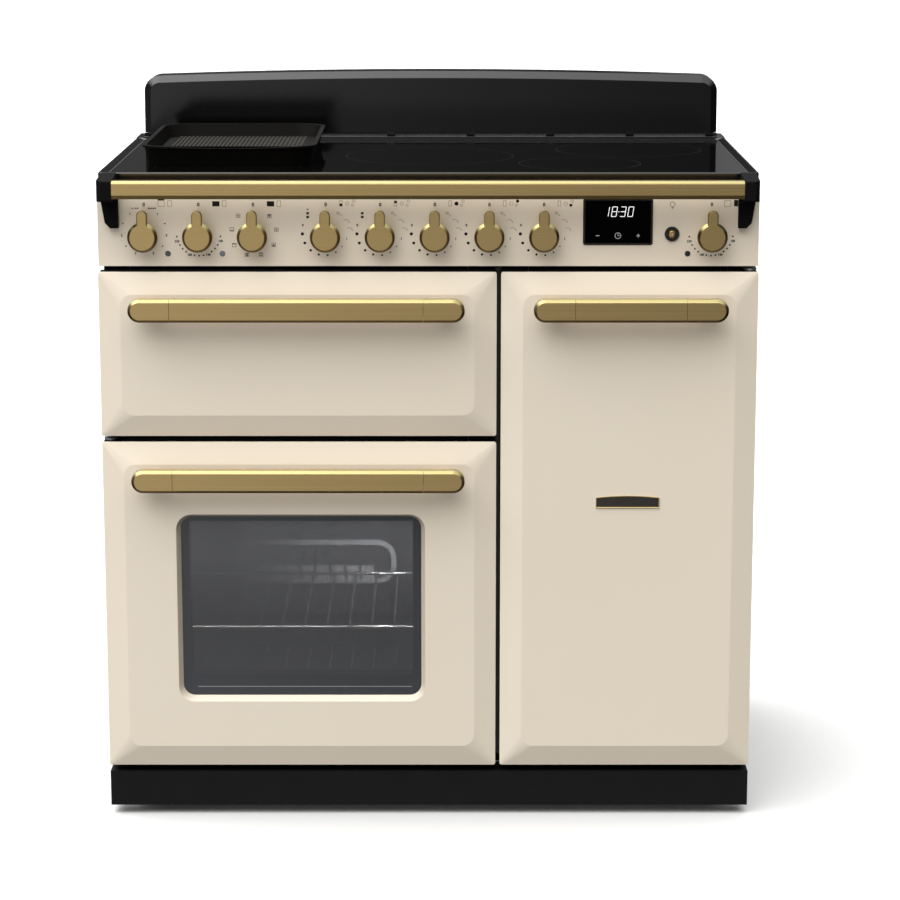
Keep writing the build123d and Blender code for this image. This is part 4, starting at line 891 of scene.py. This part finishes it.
# Screws of the casing
def pan_head(radius, height):
    """A pan-head screw with a cross recess, standing on the ground and facing up."""
    crown_height, slot_length, slot_width = 0.6 * height, 1.3 * radius, 0.28 * radius
    middle = (0, 0, height / 2)
    clear_selection()
    bpy.ops.mesh.primitive_cylinder_add(vertices=20, radius=radius, depth=height, location=middle)
    head = bpy.context.object
    bpy.ops.object.transform_apply(location=True, rotation=False, scale=False)
    edit(lambda: bpy.ops.mesh.select_all(action="DESELECT"))
    for edge in head.data.edges:
        edge.select = all(head.data.vertices[index].co.z > middle[2] for index in edge.vertices)
    bpy.ops.object.mode_set(mode="EDIT")
    bpy.ops.mesh.bevel(offset=crown_height, segments=3, affect="EDGES")
    bpy.ops.object.mode_set(mode="OBJECT")
    for length, width in ((slot_length, slot_width), (slot_width, slot_length)):
        clear_selection()
        bpy.ops.mesh.primitive_cube_add(size=1, location=(0, 0, height))
        cutter = bpy.context.object
        cutter.scale = (length, width, height)
        bpy.ops.object.transform_apply(location=True, rotation=False, scale=True)
        apply_modifier(head, "BOOLEAN", operation="DIFFERENCE", object=cutter, solver="EXACT")
        bpy.data.objects.remove(cutter)
    return head


def screws(name, head, places, finish):
    """Copies of a screw at places given as a point and the way it faces, as one piece."""
    copies = []
    for point, way in places:
        copy = copy_of(head)
        turn = Vector(way).to_track_quat("Z", "Y").to_matrix().to_4x4()
        copy.data.transform(Matrix.Translation(point) @ turn)
        copies.append(copy)
    piece = joined(name, copies, finish)
    sharpest_smooth = math.radians(35)
    bpy.ops.object.shade_smooth_by_angle(angle=sharpest_smooth)
    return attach(piece, "chassis")


def spread(low, high, inset, count):
    """Evenly spaced places between two ends, each set in from its end."""
    return [low + inset + step * (high - low - 2 * inset) / (count - 1) for step in range(count)]


casing_screw = pan_head(4.2 * MM, 2.0 * MM)
panel_low, panel_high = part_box("rear_panel")
splash_low, splash_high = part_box("splashback")
side_low, side_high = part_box("side_panels")
box_low, box_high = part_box("terminal_box")
REARWARD, FORWARD = (0, 1, 0), (0, -1, 0)
edge_inset, middle_inset = 12 * MM, 186 * MM
splash_inset, splash_screw_z = 40 * MM, splash_low.z + 20 * MM
rear_places = []
for x in spread(panel_low.x, panel_high.x, edge_inset, 2):
    for z in spread(panel_low.z, panel_high.z, edge_inset, 6):
        rear_places.append(((x, panel_high.y, z), REARWARD))
for x in spread(panel_low.x, panel_high.x, middle_inset, 4):
    for z in spread(panel_low.z, panel_high.z, edge_inset, 2):
        rear_places.append(((x, panel_high.y, z), REARWARD))
for x in spread(splash_low.x, splash_high.x, splash_inset, 5):
    rear_places.append(((x, splash_high.y, splash_screw_z), REARWARD))
screws("rear_screws", casing_screw, rear_places, bright_wire)

side_inset, side_end_inset = 14 * MM, 30 * MM
side_places = []
for x, way in ((side_low.x, -1), (side_high.x, 1)):
    for y in spread(side_low.y, side_high.y, side_inset, 2):
        for z in spread(side_low.z, side_high.z, side_end_inset, 4):
            side_places.append(((x, y, z), (way, 0, 0)))
screws("side_screws", casing_screw, side_places, black_plastic)

left_baffle_z, right_baffle_z = 0.30525, 0.423
baffle_reach_x, baffle_reach_z = 0.1, 0.11
baffle_places = []
for middle_x, middle_z in ((left_oven_x, left_baffle_z), (right_oven_x, right_baffle_z)):
    for across in (-1, 1):
        for up in (-1, 1):
            point = (middle_x + across * baffle_reach_x, baffle_low.y, middle_z + up * baffle_reach_z)
            baffle_places.append((point, FORWARD))
screws("baffle_screws", casing_screw, baffle_places, element_steel)

box_lid_y, box_inset = panel_high.y + 3 * MM, 10 * MM
box_places = []
for x in spread(box_low.x, box_high.x, box_inset, 2):
    for z in spread(box_low.z, box_high.z, box_inset, 2):
        box_places.append(((x, box_lid_y, z), REARWARD))
screws("terminal_screws", casing_screw, box_places, bright_wire)
bpy.data.objects.remove(casing_screw)


# Sealing bead between the hob's glass and its frame
def sealing_bead():
    overlap, width, height, rounding = 0.8 * MM, 2.0 * MM, 0.35 * MM, 0.15 * MM
    piece = flat_bar(hob_high.x - hob_low.x + overlap, hob_high.y - hob_low.y + overlap, width)
    piece.name = piece.data.name = "hob_bead"
    piece.data.transform(Matrix.Translation((0, hob_mid_y, hob_high.z)))
    apply_modifier(piece, "SOLIDIFY", thickness=height, offset=1.0)
    apply_modifier(piece, "BEVEL", width=rounding, segments=2)
    piece.data.materials.append(seal_rubber.material)
    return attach(piece, "chassis")


sealing_bead()


# Vent under the splashback
hob_frame_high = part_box("hob_frame")[1]


def vent_strips(strip_count, rib_width):
    """Pressed strips that close the vent between its ribs, with a short one at each end."""
    border, dish, thickness, set_back = 0.8 * MM, 0.8 * MM, 0.6 * MM, 2 * MM
    pitch = (splash_high.x - splash_low.x - 2 * rib_width) / strip_count
    width, height = pitch - rib_width, splash_low.z - hob_frame_high.z
    clear_selection()
    bpy.ops.mesh.primitive_grid_add(x_subdivisions=18, y_subdivisions=1, size=1)
    strip = bpy.context.object
    strip.data.transform(UPRIGHT @ Matrix.Diagonal((width, height, 1, 1)))
    edit(
        lambda: bpy.ops.mesh.inset(thickness=border, use_individual=True),
        lambda: bpy.ops.transform.translate(value=(0, dish, 0)),
    )
    apply_modifier(strip, "SOLIDIFY", thickness=thickness, offset=-1.0)
    end_width = rib_width / 2
    end_x = splash_high.x - end_width / 2
    spans = [((count - (strip_count - 1) / 2) * pitch, 1.0) for count in range(strip_count)]
    spans += [(-end_x, end_width / width), (end_x, end_width / width)]
    strips = []
    for x, share in spans:
        copy = copy_of(strip)
        place = Matrix.Translation((x, splash_low.y + set_back, hob_frame_high.z + height / 2))
        copy.data.transform(place @ Matrix.Diagonal((share, 1, 1, 1)))
        strips.append(copy)
    bpy.data.objects.remove(strip)
    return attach(joined("vent_strips", strips, vent_grey), "chassis")


def vent_edge():
    """A low rounded strip along the front of the vent, behind the hob's glass."""
    height, depth, rounding = 1.6 * MM, 3.0 * MM, 1.2 * MM
    piece = flat_bar(splash_high.x - splash_low.x, depth)
    piece.name = piece.data.name = "vent_edge"
    piece.data.transform(Matrix.Translation((0, hob_frame_high.y - depth / 2, hob_frame_high.z)))
    apply_modifier(piece, "SOLIDIFY", thickness=height, offset=1.0)
    apply_modifier(piece, "BEVEL", width=rounding, segments=3)
    piece.data.materials.append(black_enamel.material)
    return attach(piece, "chassis")


vent_strips(strip_count=7, rib_width=12 * MM)
vent_edge()

# Pale floor, which takes the cooker's shade but is not mirrored in it
floor_side, floor_drift_scale = 120, 0.6
clear_selection()
bpy.ops.mesh.primitive_plane_add(size=floor_side)
floor = bpy.context.object
floor.name = "floor"
floor_finish = Finish("pale_floor", {"Roughness": 0.75, "Specular IOR Level": 0.1})
floor_drift = floor_finish.noise(floor_drift_scale)
floor_colour = floor_finish.mix(floor_drift, tint(214, 214, 213), tint(217, 217, 216))
floor_finish.set("Base Color", floor_colour)
floor.data.materials.append(floor_finish.material)
floor.visible_diffuse = False
floor.visible_glossy = False

# Studio light: bright overhead, dim behind and at the sides, stronger from the left, pale where seen
world = bpy.data.worlds.new("studio")
world.use_nodes = True
background = next(n for n in world.node_tree.nodes if n.type == "BACKGROUND")
studio = Shading(world.node_tree)
way_x, way_y, way_z = studio.axes("Generated")
height_stops = ((0.0, 0.047), (0.35, 0.11), (0.5, 0.125), (0.675, 0.11), (0.8, 0.625), (0.9, 1.0))
glow = studio.node("ShaderNodeValToRGB", {"stops": height_stops}, {"Fac": 0.5 + 0.5 * way_z})
below_top = 1.0 - way_z.step(0.35, 0.7)
behind = way_y.step(0.2, 0.7) * below_top * way_z.step(-0.35, 0.0)
behind_loss = 0.9 - 0.7 * way_x.step(0.05, 0.11)
sides = abs(way_x).step(0.35, 0.8) * below_top
side_loss = 0.8
low_down = 1.0 - way_z.step(0.0, 0.35)
low_gain = 0.4 - 0.8 * way_x.step(-0.12, 0.12)
leftward = (1.45 - 0.9 * way_x.step(-0.25, 0.25)) * (1.0 + low_down * low_gain)
shone = glow * (1.0 - behind_loss * behind) * (1.0 - side_loss * sides) * leftward
studio_strength = 3.7
seen = studio.node("ShaderNodeLightPath", output="Is Camera Ray")
studio.feed(background.inputs["Color"], shone * (1.0 - seen) + seen * (1.0 / studio_strength))
background.inputs["Strength"].default_value = studio_strength
bpy.context.scene.world = world
bpy.context.scene.view_settings.view_transform = "Standard"


# Light in the ovens
def oven_light(name, kind, place, power, **settings):
    light = bpy.data.lights.new(name, kind)
    light.energy = power
    for setting, value in settings.items():
        setattr(light, setting, value)
    lamp = bpy.data.objects.new(name, light)
    lamp.location = place
    bpy.context.collection.objects.link(lamp)
    return lamp


lamp_radius = 0.02
shelf_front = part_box("left_oven_shelves")[0].y
strip_size = {"shape": "RECTANGLE", "size": 0.42, "size_y": 0.01}
oven_light("left_oven_light", "POINT", (-0.07, -0.08, 0.45), 7.0, shadow_soft_size=lamp_radius)
oven_light("right_oven_light", "POINT", (right_oven_x, -0.12, 0.66), 4.0, shadow_soft_size=lamp_radius)
shelf_lamp = oven_light("left_shelf_light", "AREA", (left_oven_x, shelf_front, 0.305), 0.65, **strip_size)
shelf_lamp.visible_camera = False

# Camera, fitted to the edges of the cooker in the photograph
lens = bpy.data.cameras.new("camera")
lens.lens = 114.48
lens.sensor_width = 36.0
camera = bpy.data.objects.new("camera", lens)
camera.location = (0.02944, -4.13616, 1.32178)
camera.rotation_euler = (math.radians(78.336), 0.0, 0.0)
bpy.context.collection.objects.link(camera)
bpy.context.scene.camera = camera
